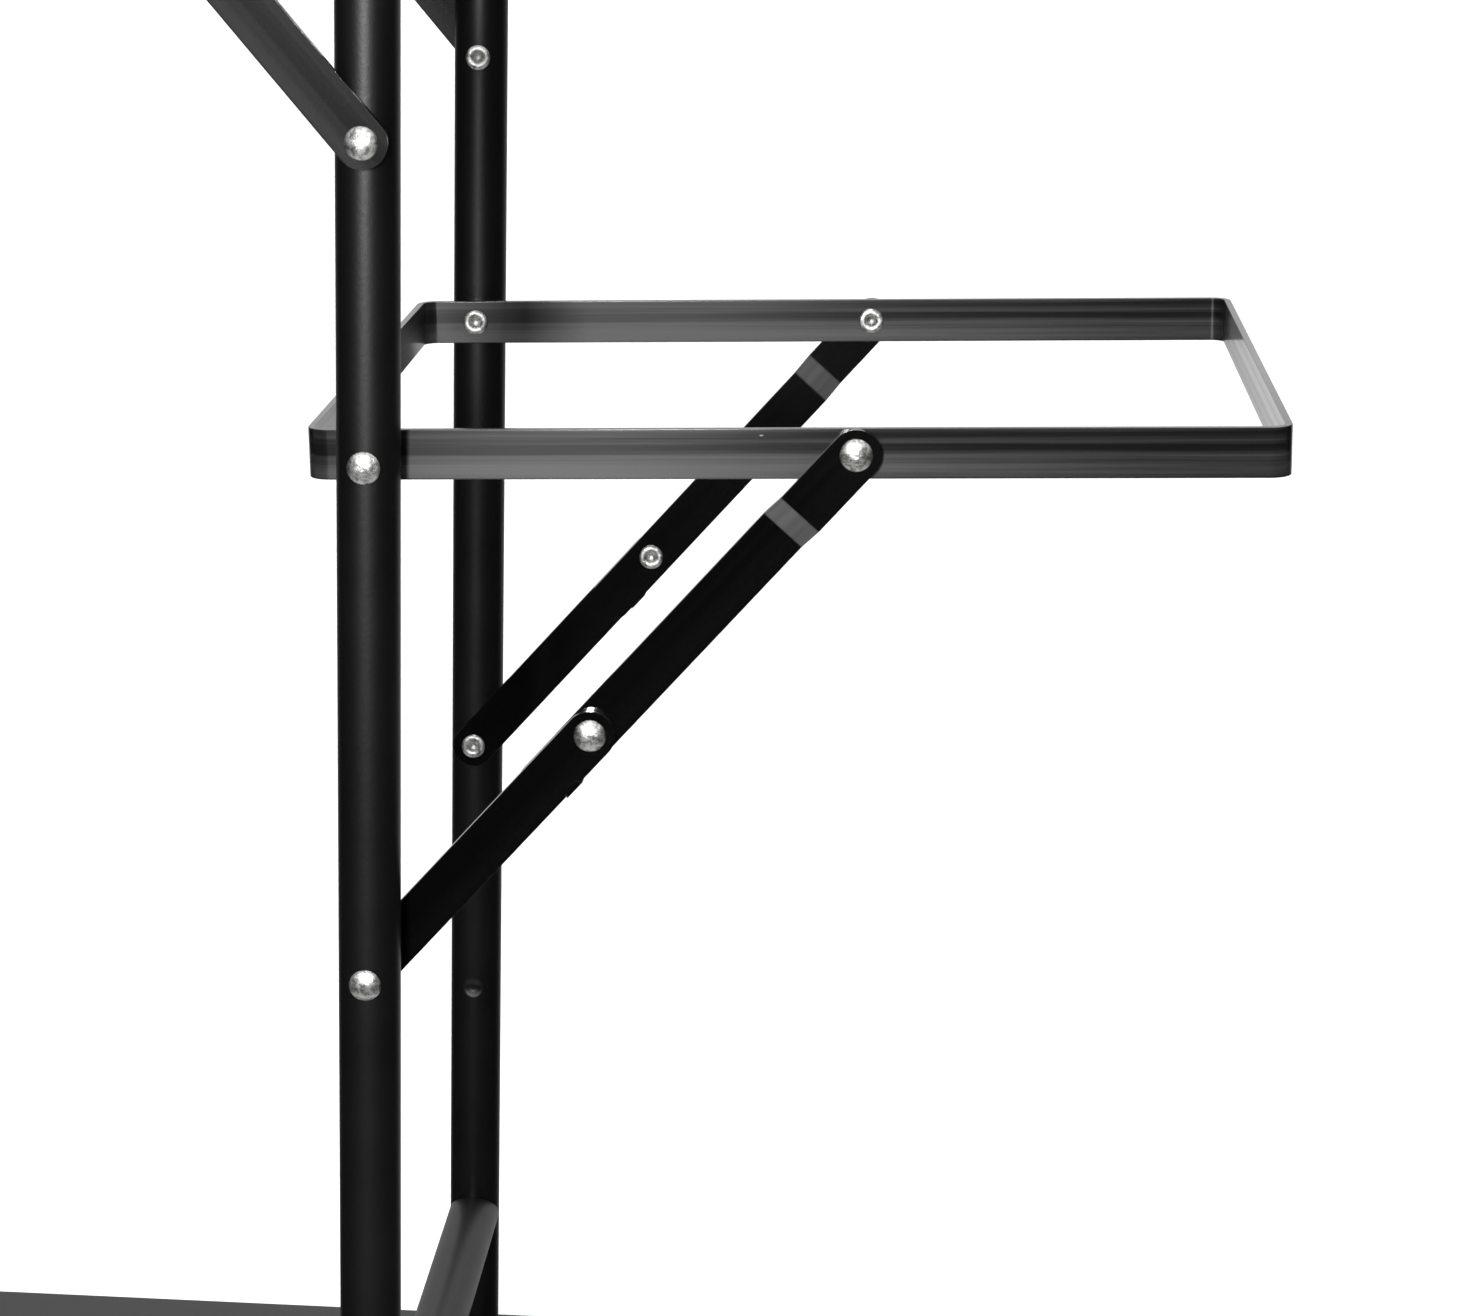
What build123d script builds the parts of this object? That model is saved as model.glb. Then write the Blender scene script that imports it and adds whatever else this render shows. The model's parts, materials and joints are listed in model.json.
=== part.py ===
from build123d import *
import math
import os

# Valet stand: two tube uprights on foot rails, with a folding tray frame in front of them and a
# folding hanging bail behind them, each held level by a pair of two-link riveted braces.
#
# Frame: origin on the floor midway between the uprights, +X forwards (the tray side), +Y to the
# stand's left, +Z up. Millimetres.

# ---- stock sizes ----------------------------------------------------------------------------------
TUBE_DIAMETER = 25.0
TUBE_WALL = 1.5
BAR_WIDTH = 20.0          # flat bar, used for the tray frame, the bail and all brace links
BAR_THICKNESS = 3.0
FOOT_RAIL_WIDTH = 40.0
FOOT_RAIL_HEIGHT = 20.0
FOOT_RAIL_WALL = 1.5

# ---- driving dimensions ---------------------------------------------------------------------------
UPRIGHT_TOP = 1030.0      # height of the uprights' upper ends above the floor
TRAY_HINGE_HEIGHT = 560.0
BAIL_HINGE_RISE = 336.0   # bail hinge above the tray hinge
TRAY_WIDTH = 320.0        # over the tray frame's side bars
TRAY_LENGTH = 385.0
TRAY_HINGE_INSET = 27.0   # tray hinge from the outside of the frame's rear bar
BAIL_REACH = TRAY_LENGTH - TRAY_HINGE_INSET
FRAME_CORNER_RADIUS = 9.0
FOOT_RAIL_LENGTH = 520.0
GLIDE_HEIGHT = 8.0
LOWER_RAIL_HEIGHT = 95.0
TOP_RAIL_DROP = 30.0      # top rail's axis below the uprights' upper ends

# ---- braces ---------------------------------------------------------------------------------------
BRACE_PIVOT_DROP = 211.0  # brace foot pivot below the hinge that it serves
BRACE_REACH = 189.0       # brace top pivot from that hinge, along the side bar
LOWER_LINK_LENGTH = 132.0
UPPER_LINK_LENGTH = 156.5
UPPER_LINK_TAIL = 39.5    # overall length of the upper link past the elbow pivot
JOGGLE_START = 33.0       # from the top pivot
JOGGLE_END = 42.0
JOGGLE_BEND_RADIUS = 3.0
STOP_FROM_ELBOW = 21.0    # stop notch and stop lip, from the elbow pivot towards the foot pivot
STOP_NOTCH_RADIUS = 5.5
STOP_NOTCH_DEPTH = 2.5
STOP_LIP_THICKNESS = 3.0
STOP_GAP = 0.2
TRIM_REACH = 4 * BAR_THICKNESS  # how far a cutting outline runs past the bars that it trims
DIMPLE_DIAMETER = 9.5  # pressed dimple in each upright's inner wall, below the brace's foot pivot
DIMPLE_DEPTH = 1.6
DIMPLE_DROP = 128.0    # below that pivot

# ---- rivets, washers and clearances ---------------------------------------------------------------
RIVET_DIAMETER = 8.0
RIVET_HEAD_DIAMETER = 13.0
RIVET_HEAD_HEIGHT = 2.6
RIVET_HEAD_RIM = 0.6
RIVET_TAIL_DIAMETER = 11.5
RIVET_TAIL_HEIGHT = 1.3
RIVET_BORE_DIAMETER = 4.6
RIVET_BORE_DEPTH = 3.6
RIVET_ROLL_SHARE = 0.4    # height of the rolled end's straight edge as a share of its height
RIVET_FLOOR_SHARE = 0.8   # deepest bore as a share of a short shank
RUNNING_CLEARANCE = 0.05  # radial, rivet in its holes
END_PLAY = 0.1            # between faces that turn on each other under a rivet
LINK_GAP = 0.3            # between two bars that swing past each other
WASHER_DIAMETER = 15.0
WASHER_THICKNESS = 1.0

# ---- screws, plugs, caps --------------------------------------------------------------------------
RAIL_BOLT_DIAMETER = 6.0
RAIL_BOLT_HEAD_DIAMETER = 10.5
RAIL_BOLT_HEAD_HEIGHT = 3.3
RAIL_BOLT_KEY = 4.0
FOOT_BOLT_DIAMETER = 8.0
FOOT_BOLT_HEAD_DIAMETER = 14.0
FOOT_BOLT_HEAD_HEIGHT = 4.4
FOOT_BOLT_KEY = 5.0
BOLT_KEY_DEPTH_SHARE = 0.6    # hexagon socket depth as a share of the head's height
BOLT_RIM_SHARE = 0.25         # height of the head's straight rim as a share of its height
BOLT_CROWN_SHARE = 0.36       # where the crown's middle point lies, as a share of the head's diameter
BOLT_CROWN_RISE_SHARE = 0.75  # and as a share of its height
BOLT_ENGAGEMENT = 14.0
BOLT_CLEARANCE = 0.25     # radial, bolt in a drilled wall
PLUG_LENGTH = 22.0
PLUG_CLEARANCE = 0.05     # radial or per side, plug in its tube
CAP_THICKNESS = 3.0
CAP_PLUG_LENGTH = 12.0
CAP_WALL = 2.0
CAP_EDGE_RADIUS = 1.5
CAP_FACE_RADIUS = 1.2
GLIDE_DIAMETER = 26.0
GLIDE_STEM_DIAMETER = 8.0
GLIDE_STEM_REACH = 4.0    # above the foot rail's lower face
GLIDE_INSET = 26.0        # from the foot rail's end
GLIDE_EDGE_RADIUS = 1.5

# ---- places worked out from the sizes above -------------------------------------------------------
# Distances from the mid-plane, on either side. The tray's bars run inside the uprights, the bail's
# bars outside them.
TUBE_RADIUS = TUBE_DIAMETER / 2
TUBE_BORE_RADIUS = TUBE_RADIUS - TUBE_WALL
TRAY_BAR_OUTER = TRAY_WIDTH / 2
TUBE_INNER_TANGENT = TRAY_BAR_OUTER + WASHER_THICKNESS
UPRIGHT_OFFSET = TUBE_INNER_TANGENT + TUBE_RADIUS
TUBE_OUTER_TANGENT = UPRIGHT_OFFSET + TUBE_RADIUS
BAIL_BAR_INNER = TUBE_OUTER_TANGENT + WASHER_THICKNESS
BAIL_WIDTH = 2 * (BAIL_BAR_INNER + BAR_THICKNESS)

BAIL_HINGE_HEIGHT = TRAY_HINGE_HEIGHT + BAIL_HINGE_RISE
TOP_RAIL_HEIGHT = UPRIGHT_TOP - TOP_RAIL_DROP
FOOT_RAIL_TOP = GLIDE_HEIGHT + FOOT_RAIL_HEIGHT
HALF_BAR = BAR_WIDTH / 2
HOLE_RADIUS = RIVET_DIAMETER / 2 + RUNNING_CLEARANCE

# An open brace is straight, which sets how far the frame rises above square with the uprights.
STRAIGHT_BRACE = LOWER_LINK_LENGTH + UPPER_LINK_LENGTH
FRAME_RISE = math.asin(
    (STRAIGHT_BRACE**2 - BRACE_REACH**2 - BRACE_PIVOT_DROP**2) / (2 * BRACE_REACH * BRACE_PIVOT_DROP)
)
BRACE_ANGLE = math.degrees(
    math.atan2(BRACE_PIVOT_DROP + BRACE_REACH * math.sin(FRAME_RISE), BRACE_REACH * math.cos(FRAME_RISE))
)

SIDES = {"right": -1, "left": 1}


# ---- helpers --------------------------------------------------------------------------------------
def between(profile, side, near, far):
    """Extrudes a profile drawn in the XZ plane between two distances from the mid-plane, on one side."""
    low, high = sorted((side * near, side * far))
    return extrude(Plane.XZ.offset(-low) * profile, amount=low - high)


def at_side(shape, side, distance):
    """Turns a shape made along +Z so that +Z points outwards on that side, its base at the distance."""
    return Pos(0, side * distance, 0) * Rot(X=-90 * side) * shape


def in_fold(shape, front, hinge_height):
    """Places a shape made about a forward frame's hinge at the origin: forwards or mirrored backwards."""
    turned = Rot(Y=-math.degrees(FRAME_RISE)) * shape
    faced = turned if front else mirror(turned, Plane.YZ)
    return Pos(0, 0, hinge_height) * faced


def brace_points(front, hinge_height):
    """Foot, elbow and top pivots of an open brace, as (x, z)."""
    facing = 1 if front else -1
    foot_height = hinge_height - BRACE_PIVOT_DROP
    angle = math.radians(BRACE_ANGLE)
    return {
        "foot": (0.0, foot_height),
        "elbow": (
            facing * LOWER_LINK_LENGTH * math.cos(angle),
            foot_height + LOWER_LINK_LENGTH * math.sin(angle),
        ),
        "top": (
            facing * BRACE_REACH * math.cos(FRAME_RISE),
            hinge_height + BRACE_REACH * math.sin(FRAME_RISE),
        ),
    }


def group(shapes):
    """Separate solids kept together as one node."""
    return Compound(children=[solid for shape in shapes for solid in shape.solids()])


# ---- tubes and rails ------------------------------------------------------------------------------
def round_tube(length):
    """A tube along +Z, from the origin."""
    outside = Cylinder(TUBE_RADIUS, length, align=(Align.CENTER, Align.CENTER, Align.MIN))
    bore = Cylinder(TUBE_BORE_RADIUS, length, align=(Align.CENTER, Align.CENTER, Align.MIN))
    return outside - bore


def cross_hole(radius, side, height, near, far):
    """A drill along Y through part of an upright."""
    return between(Pos(0, height) * Circle(radius), side, near, far)


def dimpled(tube, side, height):
    """An upright with a dimple pressed into its inner wall: the wall keeps its thickness behind it."""
    ball = (DIMPLE_DIAMETER**2 / 4 + DIMPLE_DEPTH**2) / (2 * DIMPLE_DEPTH)
    middle = Pos(0, side * (TUBE_INNER_TANGENT + DIMPLE_DEPTH - ball), height)
    void = Pos(0, side * UPRIGHT_OFFSET, height) * Cylinder(TUBE_BORE_RADIUS + TUBE_WALL / 2, 4 * ball)
    return tube + (middle * Sphere(ball + TUBE_WALL) & void) - middle * Sphere(ball)


def upright(side):
    """One upright tube with its rivet and bolt holes and its dimple."""
    tube = Pos(0, side * UPRIGHT_OFFSET, FOOT_RAIL_TOP) * round_tube(UPRIGHT_TOP - FOOT_RAIL_TOP)
    inside, outside = TUBE_INNER_TANGENT - 1, TUBE_OUTER_TANGENT + 1
    for hinge_height in (TRAY_HINGE_HEIGHT, BAIL_HINGE_HEIGHT):
        for height in (hinge_height, hinge_height - BRACE_PIVOT_DROP):
            tube -= cross_hole(HOLE_RADIUS, side, height, inside, outside)
    for height in (LOWER_RAIL_HEIGHT, TOP_RAIL_HEIGHT):
        tube -= cross_hole(RAIL_BOLT_DIAMETER / 2 + BOLT_CLEARANCE, side, height, inside, outside)
    return dimpled(tube, side, TRAY_HINGE_HEIGHT - BRACE_PIVOT_DROP - DIMPLE_DROP)


def upright_solid(side):
    """The space an upright fills, for coping what butts against it."""
    post = Cylinder(TUBE_RADIUS, UPRIGHT_TOP, align=(Align.CENTER, Align.CENTER, Align.MIN))
    return Pos(0, side * UPRIGHT_OFFSET, 0) * post


def cross_rail(height):
    """A tube between the uprights, coped to both."""
    rail = Pos(0, -UPRIGHT_OFFSET, height) * Rot(X=-90) * round_tube(2 * UPRIGHT_OFFSET)
    return rail - upright_solid(1) - upright_solid(-1)


def rail_end_plug(side, height):
    """The threaded plug in one end of a cross rail."""
    radius = TUBE_BORE_RADIUS - PLUG_CLEARANCE
    near, far = TUBE_INNER_TANGENT - PLUG_LENGTH, UPRIGHT_OFFSET
    plug = between(Pos(0, height) * Circle(radius), side, near, far) - upright_solid(side)
    return plug - cross_hole(RAIL_BOLT_DIAMETER / 2 + RUNNING_CLEARANCE, side, height, near - 1, far)


def button_bolt(diameter, length, head_diameter, head_height, key):
    """A button-head hexagon-socket bolt along -Z, with the underside of its head at the origin."""
    shank = Pos(0, 0, -length) * Cylinder(
        diameter / 2, length, align=(Align.CENTER, Align.CENTER, Align.MIN)
    )
    rim = head_height * BOLT_RIM_SHARE
    profile = Polyline((0, head_height), (0, 0), (head_diameter / 2, 0), (head_diameter / 2, rim))
    middle = head_diameter * BOLT_CROWN_SHARE, head_height * BOLT_CROWN_RISE_SHARE
    crown = ThreePointArc((head_diameter / 2, rim), middle, (0, head_height))
    head = revolve(Plane.XZ * make_face(profile + crown), Axis.Z)
    depth = head_height * BOLT_KEY_DEPTH_SHARE
    socket = Pos(0, 0, head_height - depth) * extrude(
        RegularPolygon(key / 2, 6, major_radius=False), amount=head_height
    )
    return shank + head - socket


def rail_bolt(side, height):
    """A bolt through an upright into a cross rail's end plug."""
    bolt = button_bolt(
        RAIL_BOLT_DIAMETER,
        TUBE_DIAMETER + BOLT_ENGAGEMENT,
        RAIL_BOLT_HEAD_DIAMETER,
        RAIL_BOLT_HEAD_HEIGHT,
        RAIL_BOLT_KEY,
    )
    return Pos(0, 0, height) * at_side(bolt, side, TUBE_OUTER_TANGENT)


# ---- feet -----------------------------------------------------------------------------------------
def glide_places():
    """Where the glides stand, as (x, side)."""
    reach = FOOT_RAIL_LENGTH / 2 - GLIDE_INSET
    return [(x, side) for x in (reach, -reach) for side in SIDES.values()]


def foot_rail(side):
    """A rectangular tube under one upright, open at both ends for its caps."""
    length = FOOT_RAIL_LENGTH - 2 * CAP_THICKNESS
    base = Align.CENTER, Align.CENTER, Align.MIN
    rail = Pos(0, side * UPRIGHT_OFFSET, GLIDE_HEIGHT) * Box(
        length, FOOT_RAIL_WIDTH, FOOT_RAIL_HEIGHT, align=base
    )
    rail = fillet(rail.edges().filter_by(Axis.X), FOOT_RAIL_WALL)
    rail -= Pos(0, side * UPRIGHT_OFFSET, GLIDE_HEIGHT + FOOT_RAIL_WALL) * Box(
        length, FOOT_RAIL_WIDTH - 2 * FOOT_RAIL_WALL, FOOT_RAIL_HEIGHT - 2 * FOOT_RAIL_WALL, align=base
    )
    bolt_hole = Cylinder(FOOT_BOLT_DIAMETER / 2 + BOLT_CLEARANCE, FOOT_RAIL_TOP + 1, align=base)
    rail -= Pos(0, side * UPRIGHT_OFFSET, 0) * bolt_hole
    stem_hole = Cylinder(GLIDE_STEM_DIAMETER / 2, GLIDE_HEIGHT + FOOT_RAIL_HEIGHT / 2, align=base)
    for x, place_side in glide_places():
        if place_side == side:
            rail -= Pos(x, side * UPRIGHT_OFFSET, 0) * stem_hole
    return rail


def foot_rail_cap(side, end):
    """A push-in plastic cap at one end (+1 front, -1 rear) of a foot rail."""
    base = Align.MIN, Align.CENTER, Align.CENTER
    plate = Box(CAP_THICKNESS, FOOT_RAIL_WIDTH, FOOT_RAIL_HEIGHT, align=base)
    plate = fillet(plate.edges().filter_by(Axis.X), CAP_EDGE_RADIUS)
    plate = fillet(plate.faces().sort_by(Axis.X)[-1].edges(), CAP_FACE_RADIUS)
    inner_width = FOOT_RAIL_WIDTH - 2 * FOOT_RAIL_WALL - 2 * PLUG_CLEARANCE
    inner_height = FOOT_RAIL_HEIGHT - 2 * FOOT_RAIL_WALL - 2 * PLUG_CLEARANCE
    tongue = Pos(-CAP_PLUG_LENGTH, 0, 0) * (
        Box(CAP_PLUG_LENGTH, inner_width, inner_height, align=base)
        - Box(CAP_PLUG_LENGTH, inner_width - 2 * CAP_WALL, inner_height - 2 * CAP_WALL, align=base)
    )
    cap = plate + tongue
    faced = cap if end > 0 else mirror(cap, Plane.YZ)
    place = end * (FOOT_RAIL_LENGTH / 2 - CAP_THICKNESS)
    return Pos(place, side * UPRIGHT_OFFSET, GLIDE_HEIGHT + FOOT_RAIL_HEIGHT / 2) * faced


def glide(x, side):
    """A rubber glide with the stem that holds it in the foot rail."""
    base = Align.CENTER, Align.CENTER, Align.MIN
    pad = Cylinder(GLIDE_DIAMETER / 2, GLIDE_HEIGHT, align=base)
    pad = fillet(pad.edges().sort_by(Axis.Z)[0], GLIDE_EDGE_RADIUS)
    stem = Cylinder(GLIDE_STEM_DIAMETER / 2, GLIDE_HEIGHT + GLIDE_STEM_REACH, align=base)
    return Pos(x, side * UPRIGHT_OFFSET, 0) * (pad + stem)


def foot_plug(side):
    """The threaded plug in an upright's lower end."""
    base = Align.CENTER, Align.CENTER, Align.MIN
    plug = Cylinder(TUBE_BORE_RADIUS - PLUG_CLEARANCE, PLUG_LENGTH, align=base)
    bore = Cylinder(FOOT_BOLT_DIAMETER / 2 + RUNNING_CLEARANCE, PLUG_LENGTH, align=base)
    return Pos(0, side * UPRIGHT_OFFSET, FOOT_RAIL_TOP) * (plug - bore)


def foot_bolt(side):
    """A bolt from under the foot rail into the upright's plug."""
    bolt = button_bolt(
        FOOT_BOLT_DIAMETER,
        FOOT_RAIL_HEIGHT + BOLT_ENGAGEMENT,
        FOOT_BOLT_HEAD_DIAMETER,
        FOOT_BOLT_HEAD_HEIGHT,
        FOOT_BOLT_KEY,
    )
    return Pos(0, side * UPRIGHT_OFFSET, GLIDE_HEIGHT) * Rot(X=180) * bolt


def upright_cap(side):
    """A domed plastic cap in an upright's upper end."""
    base = Align.CENTER, Align.CENTER, Align.MIN
    dome = Cylinder(TUBE_RADIUS, CAP_THICKNESS, align=base)
    dome = fillet(dome.edges().sort_by(Axis.Z)[-1], CAP_EDGE_RADIUS)
    radius = TUBE_BORE_RADIUS - PLUG_CLEARANCE
    skirt = Cylinder(radius, CAP_PLUG_LENGTH, align=base) - Cylinder(
        radius - CAP_WALL, CAP_PLUG_LENGTH, align=base
    )
    return Pos(0, side * UPRIGHT_OFFSET, UPRIGHT_TOP) * (dome + Pos(0, 0, -CAP_PLUG_LENGTH) * skirt)


# ---- rivets and washers ---------------------------------------------------------------------------
def rivet_head():
    """A domed head on the origin, along +Z."""
    radius = RIVET_HEAD_DIAMETER / 2
    base = Polyline((0, RIVET_HEAD_HEIGHT), (0, 0), (radius, 0), (radius, RIVET_HEAD_RIM))
    rise = RIVET_HEAD_HEIGHT - RIVET_HEAD_RIM
    ball = (radius**2 + rise**2) / (2 * rise)
    half_way = radius / 2
    middle = RIVET_HEAD_HEIGHT - ball + math.sqrt(ball**2 - half_way**2)
    dome = ThreePointArc((radius, RIVET_HEAD_RIM), (half_way, middle), (0, RIVET_HEAD_HEIGHT))
    return revolve(Plane.XZ * make_face(base + dome), Axis.Z)


def rivet_tail():
    """A rolled-over tubular end under the origin, along -Z, with the mouth of its bore."""
    inner, outer = RIVET_BORE_DIAMETER / 2, RIVET_TAIL_DIAMETER / 2
    straight = RIVET_TAIL_HEIGHT * RIVET_ROLL_SHARE
    edge = Polyline((inner, -straight), (inner, 0), (outer, 0), (outer, -straight))
    roll = ThreePointArc((outer, -straight), ((inner + outer) / 2, -RIVET_TAIL_HEIGHT), (inner, -straight))
    return revolve(Plane.XZ * make_face(edge + roll), Axis.Z)


def rivet_shank(length, bored):
    """A shank from the origin along -Z, tubular at its far end if bored."""
    top = Align.CENTER, Align.CENTER, Align.MAX
    shank = Cylinder(RIVET_DIAMETER / 2, length, align=top)
    if bored:
        depth = min(RIVET_BORE_DEPTH, length * RIVET_FLOOR_SHARE)
        shank -= Pos(0, 0, depth - length) * Cylinder(RIVET_BORE_DIAMETER / 2, depth, align=top)
    return shank


def rivet(side, outer, inner, pivot, head=True, tail=True):
    """A rivet, or one end of it, between two distances from the mid-plane, its head outwards."""
    length = outer - inner
    solid = rivet_shank(length, tail)
    if head:
        solid += rivet_head()
    if tail:
        solid += Pos(0, 0, -length) * rivet_tail()
    return Pos(pivot[0], 0, pivot[1]) * at_side(solid, side, outer)


def washer(side, near, far, pivot):
    """A flat washer between two distances from the mid-plane."""
    ring = Circle(WASHER_DIAMETER / 2) - Circle(HOLE_RADIUS)
    return between(Pos(*pivot) * ring, side, near, far)


# ---- tray frame and bail --------------------------------------------------------------------------
def pivot_holes(width, inner_width):
    """Drills for the hinge and the brace top pivots through both side bars of a frame."""
    drills = [
        between(Pos(x, 0) * Circle(HOLE_RADIUS), side, inner_width / 2 - 1, width / 2 + 1)
        for x in (0, BRACE_REACH)
        for side in SIDES.values()
    ]
    return group(drills)


def tray_frame():
    """A closed frame of flat bar on edge, its hinge line through the origin."""
    inner_width = TRAY_WIDTH - 2 * BAR_THICKNESS
    outline = RectangleRounded(TRAY_LENGTH, TRAY_WIDTH, FRAME_CORNER_RADIUS)
    window = RectangleRounded(
        TRAY_LENGTH - 2 * BAR_THICKNESS, inner_width, FRAME_CORNER_RADIUS - BAR_THICKNESS
    )
    middle = Pos(TRAY_LENGTH / 2 - TRAY_HINGE_INSET, 0, -HALF_BAR)
    ring = middle * extrude(outline - window, amount=BAR_WIDTH)
    return in_fold(ring - pivot_holes(TRAY_WIDTH, inner_width), True, TRAY_HINGE_HEIGHT)


def bail_frame():
    """A U of flat bar on edge whose arms end in round eyes on the hinge line."""
    inner_width = BAIL_WIDTH - 2 * BAR_THICKNESS
    outline = RectangleRounded(2 * BAIL_REACH, BAIL_WIDTH, FRAME_CORNER_RADIUS)
    window = RectangleRounded(
        2 * (BAIL_REACH - BAR_THICKNESS), inner_width, FRAME_CORNER_RADIUS - BAR_THICKNESS
    )
    front_half = Pos(BAIL_REACH / 2, 0) * Rectangle(BAIL_REACH, BAIL_WIDTH)
    bail = Pos(0, 0, -HALF_BAR) * extrude((outline - window) & front_half, amount=BAR_WIDTH)
    for side in SIDES.values():
        bail += between(Circle(HALF_BAR), side, inner_width / 2, BAIL_WIDTH / 2)
    return in_fold(bail - pivot_holes(BAIL_WIDTH, inner_width), False, BAIL_HINGE_HEIGHT)


# ---- brace links ----------------------------------------------------------------------------------
def along(front, start, angle, profile):
    """Places an XZ profile drawn along +X at a point, turned up to the brace's angle."""
    turned = Pos(*start) * Rot(Z=angle if front else 180 - angle)
    return turned * (profile if front else mirror(profile, Plane.XZ))


def link_outline(length, tail):
    """A round-ended bar from the origin's pivot to one at that length, and past it by the tail."""
    overall = length + tail + HALF_BAR
    return Pos(overall / 2 - HALF_BAR, 0) * SlotOverall(overall, BAR_WIDTH)


def stop_circle(radius):
    """The round of the stop notch, below the lower edge of a lower link drawn from its foot pivot."""
    drop = HALF_BAR - STOP_NOTCH_DEPTH + STOP_NOTCH_RADIUS
    return Pos(LOWER_LINK_LENGTH - STOP_FROM_ELBOW, -drop) * Circle(radius)


def lower_link(side, front, hinge_height, near, far):
    """The link from the upright to the elbow, with the notch that stops the brace when it is open."""
    outline = link_outline(LOWER_LINK_LENGTH, HALF_BAR)
    for x in (0, LOWER_LINK_LENGTH):
        outline -= Pos(x, 0) * Circle(HOLE_RADIUS)
    outline -= stop_circle(STOP_NOTCH_RADIUS)
    foot = brace_points(front, hinge_height)["foot"]
    return between(along(front, foot, BRACE_ANGLE, outline), side, near, far)


def joggled_strip(side, front, hinge_height, top_middle, low_middle):
    """The upper link's strip, seen from its edge: it steps from one layer to another."""
    full = UPPER_LINK_LENGTH + UPPER_LINK_TAIL + BAR_WIDTH
    centre_line = FilletPolyline(
        (-BAR_WIDTH, top_middle),
        (JOGGLE_START, top_middle),
        (JOGGLE_END, low_middle),
        (full, low_middle),
        radius=JOGGLE_BEND_RADIUS,
    )
    strip = extrude(trace(centre_line, line_width=BAR_THICKNESS), amount=HALF_BAR, both=True)
    top = brace_points(front, hinge_height)["top"]
    down_the_link = -BRACE_ANGLE if front else BRACE_ANGLE
    laid = strip if side > 0 else mirror(strip, Plane.XZ)
    faced = mirror(laid, Plane.YZ) if front else laid
    return Pos(top[0], 0, top[1]) * Rot(Y=down_the_link) * faced


def upper_link(side, front, hinge_height, top_middle, low_middle, lip_tip):
    """The joggled link from the frame past the elbow, with the lip that lands in the stop notch."""
    points = brace_points(front, hinge_height)
    outline = link_outline(UPPER_LINK_LENGTH, UPPER_LINK_TAIL - HALF_BAR)
    for x in (0, UPPER_LINK_LENGTH):
        outline -= Pos(x, 0) * Circle(HOLE_RADIUS)
    reach = TUBE_OUTER_TANGENT + TRIM_REACH
    laid = along(front, points["top"], BRACE_ANGLE + 180, mirror(outline, Plane.XZ))
    plan = between(laid, side, TRAY_BAR_OUTER - TRIM_REACH, reach)
    link = joggled_strip(side, front, hinge_height, top_middle, low_middle) & plan

    lip_floor = HALF_BAR - STOP_NOTCH_DEPTH + STOP_GAP + STOP_LIP_THICKNESS
    band = Pos(LOWER_LINK_LENGTH - STOP_FROM_ELBOW, -lip_floor / 2) * Rectangle(BAR_WIDTH, lip_floor)
    lip = along(front, points["foot"], BRACE_ANGLE, stop_circle(STOP_NOTCH_RADIUS - STOP_GAP) & band)
    return link + between(lip, side, low_middle, lip_tip)


# ---- braces ---------------------------------------------------------------------------------------
def tray_brace(name, side):
    """The nodes of one tray brace. Its links run inside the upright."""
    points = brace_points(True, TRAY_HINGE_HEIGHT)
    link_outer = TRAY_BAR_OUTER
    link_inner = link_outer - BAR_THICKNESS
    top_middle = link_outer + LINK_GAP + BAR_THICKNESS / 2
    low_middle = link_inner - LINK_GAP - BAR_THICKNESS / 2
    low_inner = low_middle - BAR_THICKNESS / 2
    return {
        f"{name}_tray_lower_link": lower_link(side, True, TRAY_HINGE_HEIGHT, link_inner, link_outer),
        f"{name}_tray_upper_link": upper_link(
            side, True, TRAY_HINGE_HEIGHT, top_middle, low_middle, link_outer
        ),
        f"{name}_tray_elbow_rivet": rivet(side, link_outer, low_inner - END_PLAY, points["elbow"]),
        f"{name}_tray_brace_rivet_end": rivet(side, link_outer, link_inner, points["foot"], head=False),
    }


def bail_brace(name, side):
    """The nodes of one bail brace. Its links run outside the upright."""
    points = brace_points(False, BAIL_HINGE_HEIGHT)
    link_inner = BAIL_BAR_INNER
    link_outer = link_inner + BAR_THICKNESS
    top_middle = link_inner - LINK_GAP - BAR_THICKNESS / 2
    low_middle = link_outer + LINK_GAP + BAR_THICKNESS / 2
    low_outer = low_middle + BAR_THICKNESS / 2
    return {
        f"{name}_bail_lower_link": lower_link(side, False, BAIL_HINGE_HEIGHT, link_inner, link_outer),
        f"{name}_bail_upper_link": upper_link(
            side, False, BAIL_HINGE_HEIGHT, top_middle, low_middle, link_inner
        ),
        f"{name}_bail_elbow_rivet": rivet(side, low_outer + END_PLAY, link_inner, points["elbow"]),
        f"{name}_bail_brace_rivet_head": rivet(side, link_outer, link_inner, points["foot"], tail=False),
    }


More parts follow.
